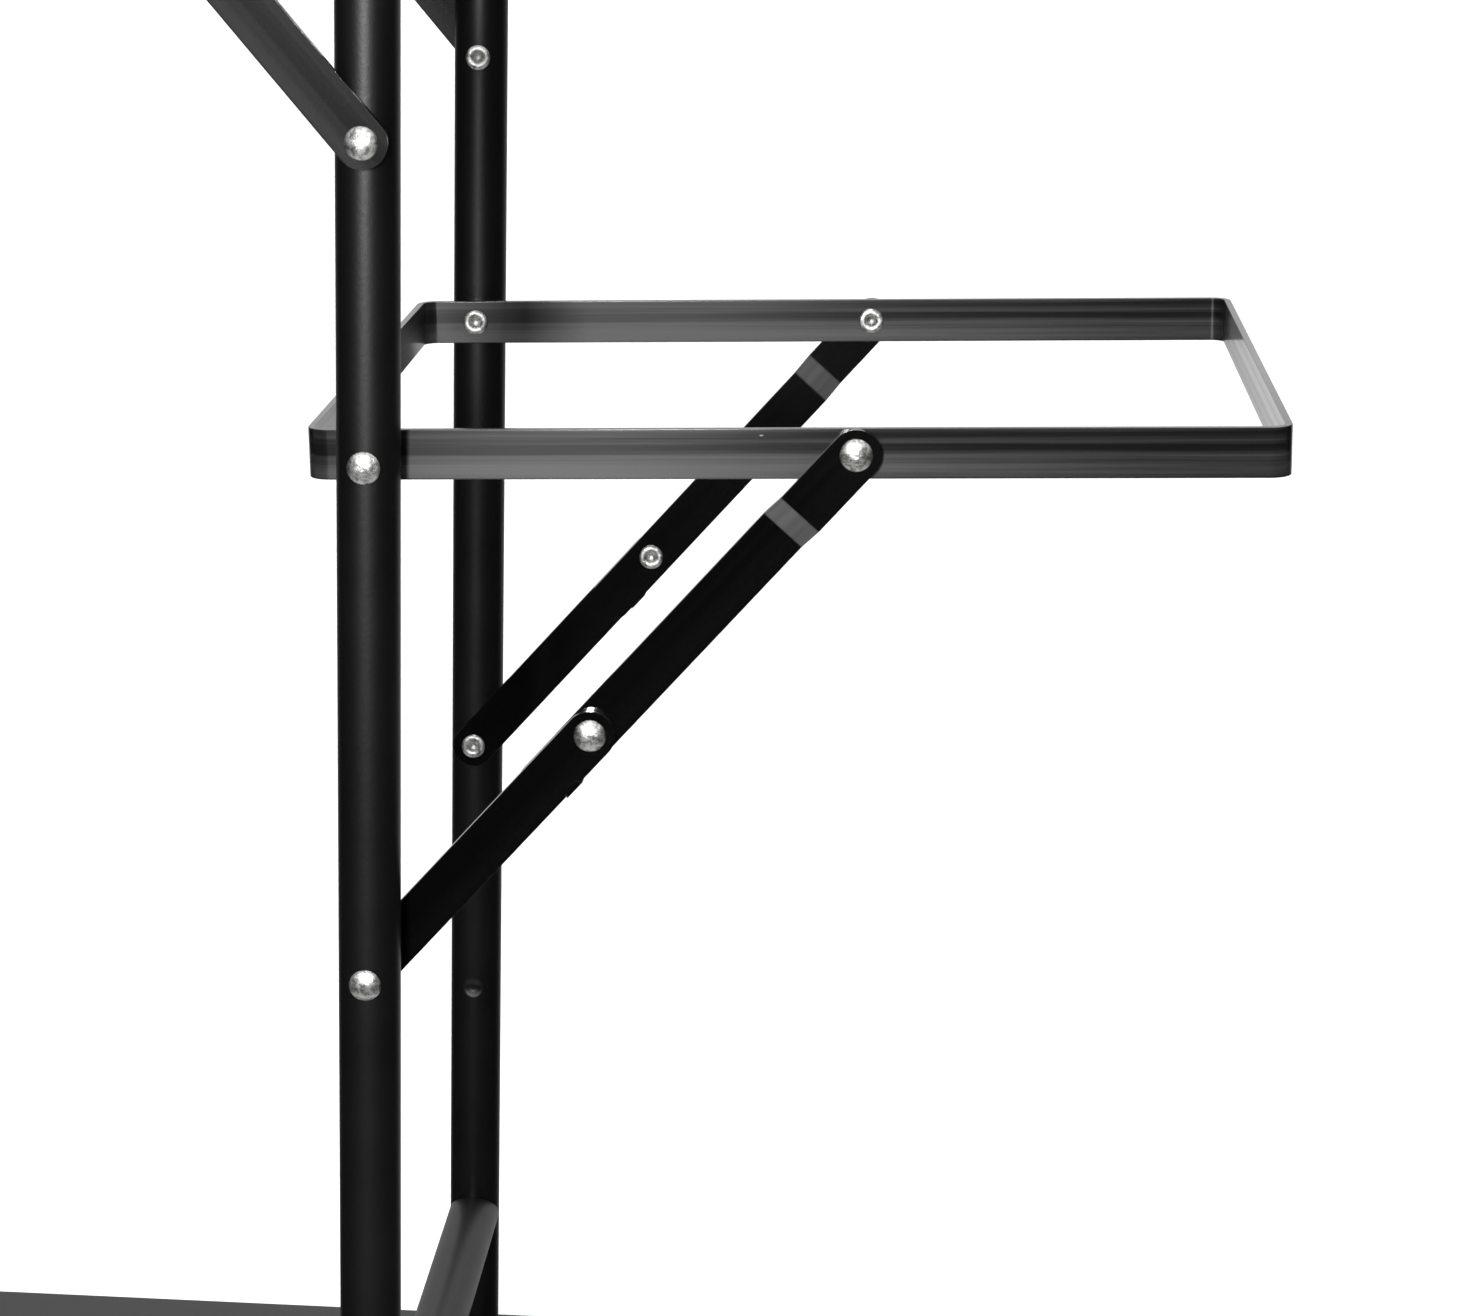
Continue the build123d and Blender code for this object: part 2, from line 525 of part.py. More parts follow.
def fixed_rivets():
    """Rivets and washers that stay with the uprights, the tray frame or the bail."""
    tray, bail = brace_points(True, TRAY_HINGE_HEIGHT), brace_points(False, BAIL_HINGE_HEIGHT)
    tray_hinge, bail_hinge = (0.0, TRAY_HINGE_HEIGHT), (0.0, BAIL_HINGE_HEIGHT)
    tray_bar_inner = TRAY_BAR_OUTER - BAR_THICKNESS
    bail_bar_outer = BAIL_BAR_INNER + BAR_THICKNESS
    tray_washer = TRAY_BAR_OUTER + END_PLAY
    tray_link_washer = TRAY_BAR_OUTER + 2 * END_PLAY
    bail_washer = BAIL_BAR_INNER - END_PLAY
    bail_link_washer = BAIL_BAR_INNER - 2 * END_PLAY
    tray_top_outer = TRAY_BAR_OUTER + LINK_GAP + BAR_THICKNESS + END_PLAY
    bail_top_inner = BAIL_BAR_INNER - LINK_GAP - BAR_THICKNESS - END_PLAY
    tube_out, tube_in = TUBE_OUTER_TANGENT, TUBE_INNER_TANGENT
    places = {
        "tray_hinge_rivets": lambda s: rivet(s, tube_out, tray_bar_inner - END_PLAY, tray_hinge),
        "tray_hinge_washers": lambda s: washer(s, tray_washer, tube_in, tray_hinge),
        "tray_brace_rivets": lambda s: rivet(s, tube_out, tray_link_washer, tray["foot"], tail=False),
        "tray_brace_washers": lambda s: washer(s, tray_link_washer, tube_in, tray["foot"]),
        "tray_frame_rivets": lambda s: rivet(s, tray_top_outer, tray_bar_inner, tray["top"]),
        "bail_hinge_rivets": lambda s: rivet(s, bail_bar_outer + END_PLAY, tube_in, bail_hinge),
        "bail_hinge_washers": lambda s: washer(s, tube_out, bail_washer, bail_hinge),
        "bail_brace_rivets": lambda s: rivet(s, bail_link_washer, tube_in, bail["foot"], head=False),
        "bail_brace_washers": lambda s: washer(s, tube_out, bail_link_washer, bail["foot"]),
        "bail_frame_rivets": lambda s: rivet(s, bail_bar_outer, bail_top_inner, bail["top"]),
    }
    return {node: group([make(side) for side in SIDES.values()]) for node, make in places.items()}


# ---- the whole stand ------------------------------------------------------------------------------
def build():
    """Every node of the stand, by name."""
    nodes = {
        "top_rail": cross_rail(TOP_RAIL_HEIGHT),
        "lower_rail": cross_rail(LOWER_RAIL_HEIGHT),
        "tray_frame": tray_frame(),
        "bail_frame": bail_frame(),
    }
    for name, side in SIDES.items():
        nodes[f"{name}_upright"] = upright(side)
        nodes[f"{name}_foot_rail"] = foot_rail(side)
        nodes.update(tray_brace(name, side))
        nodes.update(bail_brace(name, side))
    rail_ends = [(side, z) for side in SIDES.values() for z in (LOWER_RAIL_HEIGHT, TOP_RAIL_HEIGHT)]
    nodes["rail_end_plugs"] = group([rail_end_plug(side, z) for side, z in rail_ends])
    nodes["rail_bolts"] = group([rail_bolt(side, z) for side, z in rail_ends])
    nodes["upright_foot_plugs"] = group([foot_plug(side) for side in SIDES.values()])
    nodes["foot_bolts"] = group([foot_bolt(side) for side in SIDES.values()])
    nodes["upright_caps"] = group([upright_cap(side) for side in SIDES.values()])
    nodes["foot_rail_caps"] = group(
        [foot_rail_cap(side, end) for side in SIDES.values() for end in (1, -1)]
    )
    nodes["foot_glides"] = group([glide(x, side) for x, side in glide_places()])
    nodes.update(fixed_rivets())
    return nodes


os.makedirs("parts", exist_ok=True)
for node_name, node_shape in build().items():
    export_step(node_shape, f"parts/{node_name}.step")
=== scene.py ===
"""The looks of a folding valet stand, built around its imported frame.

Every length is in metres. +X points forwards to the tray, +Y to the stand's left and +Z up.
Places come from the frame: the boxes of its nodes and the positions of its joints.
"""

import json
import logging
import math
from collections.abc import Iterable
from dataclasses import dataclass, field
from enum import Enum

import bmesh
import bpy
from mathutils import Matrix, Vector, noise


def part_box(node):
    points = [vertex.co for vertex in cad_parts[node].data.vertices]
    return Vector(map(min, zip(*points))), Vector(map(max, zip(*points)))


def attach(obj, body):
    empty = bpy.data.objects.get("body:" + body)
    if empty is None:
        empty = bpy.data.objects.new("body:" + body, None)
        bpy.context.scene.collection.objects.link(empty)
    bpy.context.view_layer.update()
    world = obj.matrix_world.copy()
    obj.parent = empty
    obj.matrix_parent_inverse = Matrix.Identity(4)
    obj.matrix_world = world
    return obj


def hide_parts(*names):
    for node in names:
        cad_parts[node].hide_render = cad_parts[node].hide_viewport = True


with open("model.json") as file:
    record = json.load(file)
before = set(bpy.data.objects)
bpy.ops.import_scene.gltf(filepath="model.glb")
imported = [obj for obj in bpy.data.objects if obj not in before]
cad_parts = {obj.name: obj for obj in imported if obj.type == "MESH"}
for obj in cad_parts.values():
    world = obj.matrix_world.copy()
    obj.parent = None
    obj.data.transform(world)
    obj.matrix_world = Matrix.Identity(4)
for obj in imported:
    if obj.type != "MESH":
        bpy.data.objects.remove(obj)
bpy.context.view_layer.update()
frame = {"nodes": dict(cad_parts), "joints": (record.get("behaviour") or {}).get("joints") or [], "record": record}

LOG = logging.getLogger("valet_stand")
MM = 0.001
DOUBLES = 0.001 * MM
DRILL_FLATS = 64
PAST_EVERYTHING = 9.0


# ---- shader maths -------------------------------------------------------------------------------
class Signal:
    """A value that varies over a surface: an output socket that takes part in Python arithmetic."""

    def __init__(self, graph: "Graph", socket: bpy.types.NodeSocket) -> None:
        """Keeps the graph and the socket that carries the value."""
        self.graph = graph
        self.socket = socket

    def maths(self, operation: str, *terms: "Signal | float") -> "Signal":
        """Adds a Math node.

        Args:
            operation: the Math node's operation.
            terms: its inputs in order, signals or numbers.

        Returns:
            The node's result.
        """
        made = self.graph.node("ShaderNodeMath", {"operation": operation}, dict(enumerate(terms)))
        return Signal(self.graph, made.outputs[0])

    def __add__(self, other: "Signal | float") -> "Signal":
        """The sum."""
        return self.maths("ADD", self, other)

    __radd__ = __add__

    def __sub__(self, other: "Signal | float") -> "Signal":
        """The difference."""
        return self.maths("SUBTRACT", self, other)

    def __rsub__(self, other: float) -> "Signal":
        """The difference from a number."""
        return self.maths("SUBTRACT", other, self)

    def __mul__(self, other: "Signal | float") -> "Signal":
        """The product."""
        return self.maths("MULTIPLY", self, other)

    __rmul__ = __mul__

    def __gt__(self, limit: float) -> "Signal":
        """1 where the signal is above the limit, and 0 elsewhere."""
        return self.maths("GREATER_THAN", self, limit)

    def __lt__(self, limit: float) -> "Signal":
        """1 where the signal is below the limit, and 0 elsewhere."""
        return self.maths("LESS_THAN", self, limit)

    def larger(self, other: "Signal | float") -> "Signal":
        """The larger of two signals."""
        return self.maths("MAXIMUM", self, other)

    def step(self, low: float, high: float) -> "Signal":
        """A smooth rise from 0 to 1.

        Args:
            low: the input where the result is 0.
            high: the input where the result is 1; it may be below low for a fall.

        Returns:
            The eased and clamped result.
        """
        made = self.graph.node(
            "ShaderNodeMapRange",
            {"interpolation_type": "SMOOTHSTEP"},
            {"Value": self, "From Min": low, "From Max": high},
        )
        return Signal(self.graph, made.outputs["Result"])


class Graph:
    """The node tree of one material or world."""

    def __init__(self, tree: bpy.types.NodeTree) -> None:
        """Takes over a tree and empties it."""
        self.tree = tree
        tree.nodes.clear()

    def node(
        self, kind: str, settings: dict[str, object] | None = None, inputs: dict | None = None
    ) -> bpy.types.Node:
        """Adds any node.

        Args:
            kind: the node's type.
            settings: its own settings, set first.
            inputs: values or signals for its sockets, by name or number.

        Returns:
            The node.
        """
        made = self.tree.nodes.new(kind)
        for name, value in (settings or {}).items():
            setattr(made, name, value)
        for name, value in (inputs or {}).items():
            if isinstance(value, Signal):
                self.tree.links.new(value.socket, made.inputs[name])
            else:
                made.inputs[name].default_value = value
        return made

    def signal(self, made: bpy.types.Node, output: str | int = 0) -> Signal:
        """The signal of one of a node's outputs."""
        return Signal(self, made.outputs[output])

    def place(self, turn: float = 0.0, origin: tuple = (0.0, 0.0)) -> tuple[Signal, Signal, Signal]:
        """The piece's own coordinates, in metres.

        Args:
            turn: how far the piece's length is turned down from +X about +Y, in radians.
            origin: the point that they are counted from, as (x, z).

        Returns:
            Coordinates along the length, along Y and across, as three signals.
        """
        source = self.signal(self.node("ShaderNodeTexCoord"), "Object")
        back = Matrix.Rotation(-turn, 3, "Y") @ Vector((origin[0], 0.0, origin[1]))
        turned = self.node(
            "ShaderNodeMapping", {"vector_type": "POINT"},
            {"Vector": source, "Rotation": (0.0, -turn, 0.0), "Location": -back},
        )
        parts = self.node("ShaderNodeSeparateXYZ", None, {"Vector": self.signal(turned)})
        return tuple(self.signal(parts, axis) for axis in "XYZ")

    def vector(self, *parts: Signal | float) -> Signal:
        """A vector from three signals or numbers."""
        return self.signal(self.node("ShaderNodeCombineXYZ", None, dict(enumerate(parts))))

    def spot(self) -> Signal:
        """The piece's own coordinates as one vector, in metres."""
        return self.vector(*self.place())

    def noise(self, at: Signal, scale: float, detail: float = 2.0, roughness: float = 0.5) -> Signal:
        """Fractal noise from 0 to 1.

        Args:
            at: where it is read.
            scale: cells per unit of that vector.
            detail: octaves.
            roughness: how much each finer octave adds.

        Returns:
            The noise.
        """
        inputs = {"Vector": at, "Scale": scale, "Detail": detail, "Roughness": roughness}
        return self.signal(self.node("ShaderNodeTexNoise", None, inputs))

    def specks(self, at: Signal, scale: float, size: float, share: float) -> Signal:
        """Small scattered marks.

        Args:
            at: where they are read.
            scale: cells per unit of that vector.
            size: a mark's radius as a share of a cell.
            share: the share of cells that hold a mark.

        Returns:
            1 in a mark and 0 elsewhere, with soft edges.
        """
        cells = self.node("ShaderNodeTexVoronoi", None, {"Vector": at, "Scale": scale})
        chance = self.node("ShaderNodeSeparateColor", None, {"Color": self.signal(cells, "Color")})
        return self.signal(cells, "Distance").step(size, size * 0.4) * (self.signal(chance) < share)

    def colour(self, amount: Signal, low: tuple | Signal, high: tuple) -> Signal:
        """A colour between two others.

        Args:
            amount: 0 for the first colour and 1 for the second.
            low: the first colour, as numbers or as a signal.
            high: the second colour.

        Returns:
            The mixed colour.
        """
        first = low if isinstance(low, Signal) else (*low, 1.0)
        inputs = {"Factor": amount, 6: first, 7: (*high, 1.0)}
        return self.signal(self.node("ShaderNodeMix", {"data_type": "RGBA"}, inputs), 2)

    def bump(self, height: Signal, depth: float, below: Signal | None = None) -> Signal:
        """A bumped normal.

        Args:
            height: the relief, from 0 to 1.
            depth: its depth in metres.
            below: a bumped normal that this one adds to.

        Returns:
            The normal.
        """
        inputs = {"Height": height, "Distance": depth, "Strength": 1.0}
        if below is not None:
            inputs["Normal"] = below
        return self.signal(self.node("ShaderNodeBump", None, inputs))

    def surface(self, **inputs: object) -> None:
        """Ends a material's tree with a Principled shader; underscores in names stand for spaces."""
        named = {name.replace("_", " "): value for name, value in inputs.items()}
        shader = self.signal(self.node("ShaderNodeBsdfPrincipled", None, named))
        self.node("ShaderNodeOutputMaterial", None, {"Surface": shader})


def material(name: str) -> tuple[bpy.types.Material, Graph]:
    """A new node material and its graph."""
    made = bpy.data.materials.new(name)
    made.use_nodes = True
    return made, Graph(made.node_tree)


# ---- finishes -----------------------------------------------------------------------------------
@dataclass(frozen=True)
class PowderCoat:
    """Black powder coat with a fine grain, on the tubes."""

    dark: tuple = (0.0008, 0.0008, 0.0008)
    light: tuple = (0.0022, 0.0022, 0.0023)
    scuff: tuple = (0.16, 0.16, 0.16)
    specular: float = 0.45
    grain_scale: float = 2600.0
    grain_depth: float = 0.035 * MM
    peel_scale: float = 420.0
    peel_depth: float = 0.05 * MM
    cloud_scale: float = 23.0
    rub_scale: float = 60.0
    nick_scale: float = 55.0
    roughness: float = 0.42

    def make(self) -> bpy.types.Material:
        """Builds the material."""
        made, graph = material("black_powder_coat")
        at = graph.spot()
        grain = graph.noise(at, self.grain_scale, 1.0)
        peel = graph.noise(at, self.peel_scale, 2.0)
        cloud = graph.noise(at, self.cloud_scale, 3.0, 0.6)
        rubbed = graph.noise(at, self.rub_scale, 4.0, 0.7).step(0.66, 0.80)
        nicks = graph.specks(at, self.nick_scale, 0.035, 0.10)
        shade = graph.colour(0.6 * grain + 0.5 * cloud - 0.05, self.dark, self.light)
        graph.surface(
            Base_Color=graph.colour(nicks, shade, self.scuff),
            Roughness=self.roughness + 0.10 * (cloud - 0.5) + 0.10 * (grain - 0.5) - 0.06 * rubbed,
            Specular_IOR_Level=self.specular,
            Normal=graph.bump(peel, self.peel_depth, graph.bump(grain, self.grain_depth)),
        )
        return made


@dataclass(frozen=True)
class RolledBar:
    """Black finish on rolled flat bar: long bright and dark streaks along each bar, and a painted reflection that
    lightens each bar's lower half.

    Each streak pattern has its cells per metre along and across, its slice and its roughness.
    """

    name: str
    turn: float
    origin: tuple
    dark: tuple = (0.010, 0.010, 0.0102)
    light: tuple = (0.062, 0.062, 0.063)
    nick: tuple = (0.2, 0.2, 0.2)
    metallic: float = 0.6
    roughness: float = 0.42
    specular: float = 0.2
    brushed: float = 0.85
    lacquer_roughness: float = 0.14
    lacquer_index: float = 1.5
    streak_depth: float = 0.03 * MM
    bands: tuple = (2.2, 230.0, 1.3, 0.62)
    lines: tuple = (9.0, 1500.0, 4.1, 0.6)
    patches: tuple = (14.0, 40.0, 7.7, 0.55)
    nick_cells: tuple = (40.0, 90.0)
    # The next two bound a painted reflection: a lighter band over each bar's lower half.
    painted_sheen_top: tuple = (0.4 * MM, -1.2 * MM)
    painted_sheen_foot: tuple = (-9.7 * MM, -9.0 * MM)
    end_shift: float = 0.7
    ends: tuple | None = None

    def make(self) -> bpy.types.Material:
        """Builds the material; where ends are given, bars beyond those places run along Y."""
        made, graph = material(self.name)
        along, side, across = graph.place(self.turn, self.origin)
        if self.ends:
            crosswise = (along < self.ends[0]).larger(along > self.ends[1])
            along = along + crosswise * (side + self.end_shift - along)
        bands, lines, patches = (
            graph.noise(graph.vector(along * length, across * width, cut), 1.0, 3.0, roughness)
            for length, width, cut, roughness in (self.bands, self.lines, self.patches)
        )
        length, width = self.nick_cells
        nicks = graph.specks(graph.vector(along * length, across * width, side * width), 1.0, 0.05, 0.12)
        # Painted reflection: lower is 1 over each bar's lower half, and lightens the tone, colour, roughness and
        # coat there.
        lower = across.step(*self.painted_sheen_top) * across.step(*self.painted_sheen_foot)
        mixed = bands.step(0.34, 0.70) * 0.5 + lines * 0.35 + patches * 0.15 + 0.4 * lower - 0.25
        tone = mixed.step(0.0, 1.0)
        graph.surface(
            Base_Color=graph.colour(nicks, graph.colour(tone, self.dark, self.light), self.nick),
            Roughness=self.roughness + 0.22 * (tone - 0.5),
            Metallic=self.metallic,
            Specular_IOR_Level=self.specular,
            Anisotropic=self.brushed,
            Anisotropic_Rotation=0.25,
            Coat_Weight=1.0 - 0.35 * tone,
            Coat_Roughness=self.lacquer_roughness,
            Coat_IOR=self.lacquer_index,
            Normal=graph.bump(lines * 0.6 + bands * 0.8, self.streak_depth),
        )
        return made


@dataclass(frozen=True)
class NickelPlate:
    """Bright nickel on the rivets, with fine scuffs from setting."""

    dark: tuple = (0.26, 0.26, 0.255)
    light: tuple = (0.74, 0.735, 0.72)
    stain_scale: float = 330.0
    scuff_scale: float = 1500.0
    depth: float = 0.16 * MM

    def make(self) -> bpy.types.Material:
        """Builds the material."""
        made, graph = material("bright_nickel")
        at = graph.spot()
        stain = graph.noise(at, self.stain_scale, 4.0, 0.7)
        scuff = graph.noise(at, self.scuff_scale, 3.0, 0.65)
        tone = (0.7 * stain + 0.3 * scuff).step(0.40, 0.56)
        graph.surface(
            Base_Color=graph.colour(tone, self.dark, self.light),
            Metallic=1.0,
            Roughness=0.30 + 0.16 * stain + 0.08 * scuff,
            Normal=graph.bump(scuff * 0.5 + stain, self.depth),
        )
        return made


@dataclass(frozen=True)
class FleckedMetal:
    """Plated or oxidised steel on the small fittings, its tone varying in fine flecks."""

    name: str
    dark: tuple
    light: tuple
    scale: float
    metallic: float
    roughness: float
    gain: float
    depth: float = 0.02 * MM

    def make(self) -> bpy.types.Material:
        """Builds the material."""
        made, graph = material(self.name)
        fleck = graph.noise(graph.spot(), self.scale, 3.0, 0.6)
        graph.surface(
            Base_Color=graph.colour(fleck, self.dark, self.light),
            Metallic=self.metallic,
            Roughness=self.roughness + self.gain * fleck,
            Normal=graph.bump(fleck, self.depth),
        )
        return made


DULL_ZINC = FleckedMetal(
    "dull_zinc", (0.30, 0.31, 0.32), (0.62, 0.63, 0.64),
    scale=700.0, metallic=1.0, roughness=0.34, gain=0.2,
)
BLACK_OXIDE = FleckedMetal(
    "black_oxide", (0.006, 0.006, 0.007), (0.028, 0.027, 0.026),
    scale=480.0, metallic=0.35, roughness=0.30, gain=0.18,
)


@dataclass(frozen=True)
class MouldedPlastic:
    """Spark-textured black plastic on the caps."""

    dark: tuple = (0.008, 0.008, 0.008)
    light: tuple = (0.02, 0.02, 0.021)
    texture_scale: float = 1500.0
    cloud_scale: float = 45.0
    depth: float = 0.05 * MM

    def make(self) -> bpy.types.Material:
        """Builds the material."""
        made, graph = material("moulded_black_plastic")
        at = graph.spot()
        texture = graph.noise(at, self.texture_scale, 2.0, 0.6)
        cloud = graph.noise(at, self.cloud_scale, 3.0, 0.5)
        graph.surface(
            Base_Color=graph.colour(0.5 * texture + 0.5 * cloud, self.dark, self.light),
            Roughness=0.48 + 0.12 * texture,
            Specular_IOR_Level=0.4,
            Normal=graph.bump(texture, self.depth),
        )
        return made


@dataclass(frozen=True)
class GlideRubber:
    """Matt rubber on the glides, dusty where it meets the floor."""

    dark: tuple = (0.012, 0.012, 0.012)
    dust: tuple = (0.12, 0.115, 0.105)
    fleck_scale: float = 900.0
    dust_scale: float = 320.0
    dust_height: tuple = (4.0 * MM, 0.5 * MM)
    depth: float = 0.06 * MM

    def make(self) -> bpy.types.Material:
        """Builds the material."""
        made, graph = material("glide_rubber")
        height = graph.place()[2]
        at = graph.spot()
        fleck = graph.noise(at, self.fleck_scale, 3.0, 0.6)
        dusty = graph.noise(at, self.dust_scale, 3.0, 0.7).step(0.4, 0.7) * height.step(*self.dust_height)
        graph.surface(
            Base_Color=graph.colour(0.5 * dusty + 0.15 * fleck, self.dark, self.dust),
            Roughness=0.72 + 0.15 * fleck,
            Specular_IOR_Level=0.25,
            Normal=graph.bump(fleck, self.depth),
        )
        return made


# ---- mesh work ----------------------------------------------------------------------------------
class Edge(Enum):
    """How far a piece's sharp edges are softened, in metres."""

    BAR = 0.35 * MM
    LINK = 0.05 * MM
    TUBE = 0.25 * MM


def moved(bm: bmesh.types.BMesh, matrix: Matrix) -> bmesh.types.BMesh:
    """Transforms a whole bmesh and returns it."""
    bmesh.ops.transform(bm, matrix=matrix, verts=bm.verts)
    return bm


def whole(bm: bmesh.types.BMesh) -> list:
    """Every vertex, edge and face of a bmesh."""
    return bm.verts[:] + bm.edges[:] + bm.faces[:]


def thickened(bm: bmesh.types.BMesh, along: tuple) -> None:
    """Extrudes every face of a flat bmesh along a vector."""
    grown = bmesh.ops.extrude_face_region(bm, geom=bm.faces[:])["geom"]
    raised = [v for v in grown if isinstance(v, bmesh.types.BMVert)]
    bmesh.ops.translate(bm, verts=raised, vec=along)


def divided(bm: bmesh.types.BMesh, places: Iterable[tuple], normal: tuple) -> None:
    """Adds a loop of edges where a plane through each place crosses a bmesh."""
    for place in places:
        bmesh.ops.bisect_plane(bm, geom=whole(bm), plane_co=place, plane_no=normal)


def trimmed(bm: bmesh.types.BMesh, place: tuple, outwards: tuple) -> list[bmesh.types.BMEdge]:
    """Removes what lies past a plane and closes the cut, whose edges it returns."""
    cut = bmesh.ops.bisect_plane(
        bm, geom=whole(bm), plane_co=place, plane_no=outwards, clear_outer=True
    )
    rims = [e for e in cut["geom_cut"] if isinstance(e, bmesh.types.BMEdge)]
    bmesh.ops.holes_fill(bm, edges=rims, sides=0)
    return rims


def as_mesh(bm: bmesh.types.BMesh, name: str) -> bpy.types.Mesh:
    """Turns a bmesh into a mesh whose faces point outwards, and frees it."""
    bmesh.ops.remove_doubles(bm, verts=bm.verts, dist=DOUBLES)
    bmesh.ops.recalc_face_normals(bm, faces=bm.faces)
    mesh = bpy.data.meshes.new(name)
    bm.to_mesh(mesh)
    bm.free()
    return mesh


def combined(
    target: bmesh.types.BMesh, tool: bmesh.types.BMesh, operation: str = "DIFFERENCE"
) -> bmesh.types.BMesh:
    """Cuts a tool's shape out of a target, or adds it.

    Args:
        target: the closed shape that is worked on; it is freed.
        tool: the closed shape that cuts or joins; it is freed.
        operation: the Boolean modifier's operation.

    Returns:
        The resulting shape.
    """
    work = bpy.data.objects.new("work", as_mesh(target, "work"))
    cutter = bpy.data.objects.new("cutter", as_mesh(tool, "cutter"))
    for one in (work, cutter):
        bpy.context.scene.collection.objects.link(one)
    boolean = work.modifiers.new("cut", "BOOLEAN")
    boolean.operation, boolean.solver, boolean.object = operation, "EXACT", cutter
    bpy.context.view_layer.update()
    evaluated = work.evaluated_get(bpy.context.evaluated_depsgraph_get())
    result = bmesh.new()
    result.from_mesh(evaluated.to_mesh())
    evaluated.to_mesh_clear()
    for one in (work, cutter):
        mesh = one.data
        bpy.data.objects.remove(one)
        bpy.data.meshes.remove(mesh)
    return result


def finished(
    bm: bmesh.types.BMesh,
    name: str,
    finish: bpy.types.Material,
    edge: Edge | None,
    crease: float = 32.0,
) -> bpy.types.Object:
    """Makes the finished object of a shape.

    Args:
        bm: the shape, in its place; it is freed.
        name: the piece's name.
        finish: its material.
        edge: how far its sharp edges are softened, or None to leave them.
        crease: the angle in degrees over which an edge counts as sharp.

    Returns:
        The linked object, at the origin.
    """
    mesh = as_mesh(bm, name)
    mesh.materials.append(finish)
    mesh.shade_smooth()
    mesh.set_sharp_from_angle(angle=math.radians(crease))
    piece = bpy.data.objects.new(name, mesh)
    bpy.context.scene.collection.objects.link(piece)
    if edge:
        soft = piece.modifiers.new("soft_edges", "BEVEL")
        soft.width, soft.segments, soft.limit_method = edge.value, 2, "ANGLE"
        soft.angle_limit = math.radians(crease)
        soft.harden_normals = True
    return piece


def on_side(side: int) -> Matrix:
    """Turns a shape made along +Z so that +Z points outwards on a side of the stand."""
    return Matrix.Rotation(math.radians(-90.0 * side), 4, "X")


def drill(
    radius: float, at: tuple[float, float], low: float, high: float
) -> bmesh.types.BMesh:
    """A closed round bar along Y.

    Args:
        radius: the bar's radius.
        at: its axis, as (x, z).
        low: its lower end's Y.
        high: its upper end's Y.

    Returns:
        The bar.
    """
    bm = bmesh.new()
    bmesh.ops.create_cone(
        bm, cap_ends=True, segments=DRILL_FLATS, radius1=radius, radius2=radius, depth=high - low
    )
    turn = Matrix.Rotation(math.radians(90.0), 4, "X")
    return moved(bm, Matrix.Translation((at[0], (low + high) / 2, at[1])) @ turn)


def merged(shapes: Iterable[bmesh.types.BMesh]) -> bmesh.types.BMesh:
    """One bmesh that holds several, which are freed."""
    joined = bmesh.new()
    for shape in shapes:
        mesh = as_mesh(shape, "part")
        joined.from_mesh(mesh)
        bpy.data.meshes.remove(mesh)
    return joined


def spun(profile: list[tuple[float, float]], segments: int) -> bmesh.types.BMesh:
    """A solid of revolution about Z.

    Args:
        profile: radius and height of each point, from the axis back to the axis.
        segments: steps around.

    Returns:
        The closed solid.
    """
    bm = bmesh.new()
    points = [bm.verts.new((radius, 0.0, height)) for radius, height in profile]
    edges = [bm.edges.new(pair) for pair in zip(points, points[1:])]
    bmesh.ops.spin(
        bm, geom=points + edges, cent=(0, 0, 0), axis=(0, 0, 1), dvec=(0, 0, 0),
        angle=math.tau, steps=segments, use_merge=True, use_duplicate=False,
    )
    bmesh.ops.remove_doubles(bm, verts=bm.verts, dist=DOUBLES)
    return bm


def arc(
    centre: tuple[float, float], radius: float, start: float, end: float, steps: int
) -> list[tuple[float, float]]:
    """Points of an arc in a profile.

    Args:
        centre: its centre, as (radius, height).
        radius: its radius.
        start: its first angle in degrees from the outward direction.
        end: its last angle.
        steps: pieces that it is divided into.

    Returns:
        The points, both ends included.
    """
    angles = [math.radians(start + (end - start) * i / steps) for i in range(steps + 1)]
    return [(centre[0] + radius * math.cos(a), centre[1] + radius * math.sin(a)) for a in angles]


# ---- the frame's measures -----------------------------------------------------------------------
@dataclass(frozen=True)
class Measures:
    """Distances from the mid-plane and places of the pivots, read from the frame."""

    bar: float = 3.0 * MM
    bar_width: float = 20.0 * MM
    play: float = 0.1 * MM
    link_gap: float = 0.3 * MM
    hole: float = 4.05 * MM
    tube_in: float = field(default_factory=lambda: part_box("left_upright")[0].y)
    tube_out: float = field(default_factory=lambda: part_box("left_upright")[1].y)
    tray_out: float = field(default_factory=lambda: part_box("tray_frame")[1].y)
    bail_out: float = field(default_factory=lambda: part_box("bail_frame")[1].y)

    @property
    def tube_radius(self) -> float:
        """The uprights' outer radius."""
        return (self.tube_out - self.tube_in) / 2

    @property
    def tube_middle(self) -> float:
        """The uprights' axes from the mid-plane."""
        return (self.tube_out + self.tube_in) / 2

    @property
    def tray_in(self) -> float:
        """The inner face of the tray's side bars."""
        return self.tray_out - self.bar

    @property
    def bail_in(self) -> float:
        """The inner face of the bail's arms."""
        return self.bail_out - self.bar


def pivot(joint: str) -> tuple[float, float]:
    """A joint's place in the XZ plane."""
    found = next(j for j in frame["joints"] if j["name"] == joint)
    return found["pos_m"][0], found["pos_m"][2]


def middle(node: str) -> tuple[float, float]:
    """The middle of a node's box in the XZ plane."""
    low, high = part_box(node)
    return (low.x + high.x) / 2, (low.z + high.z) / 2


SIDES = {"right": -1, "left": 1}


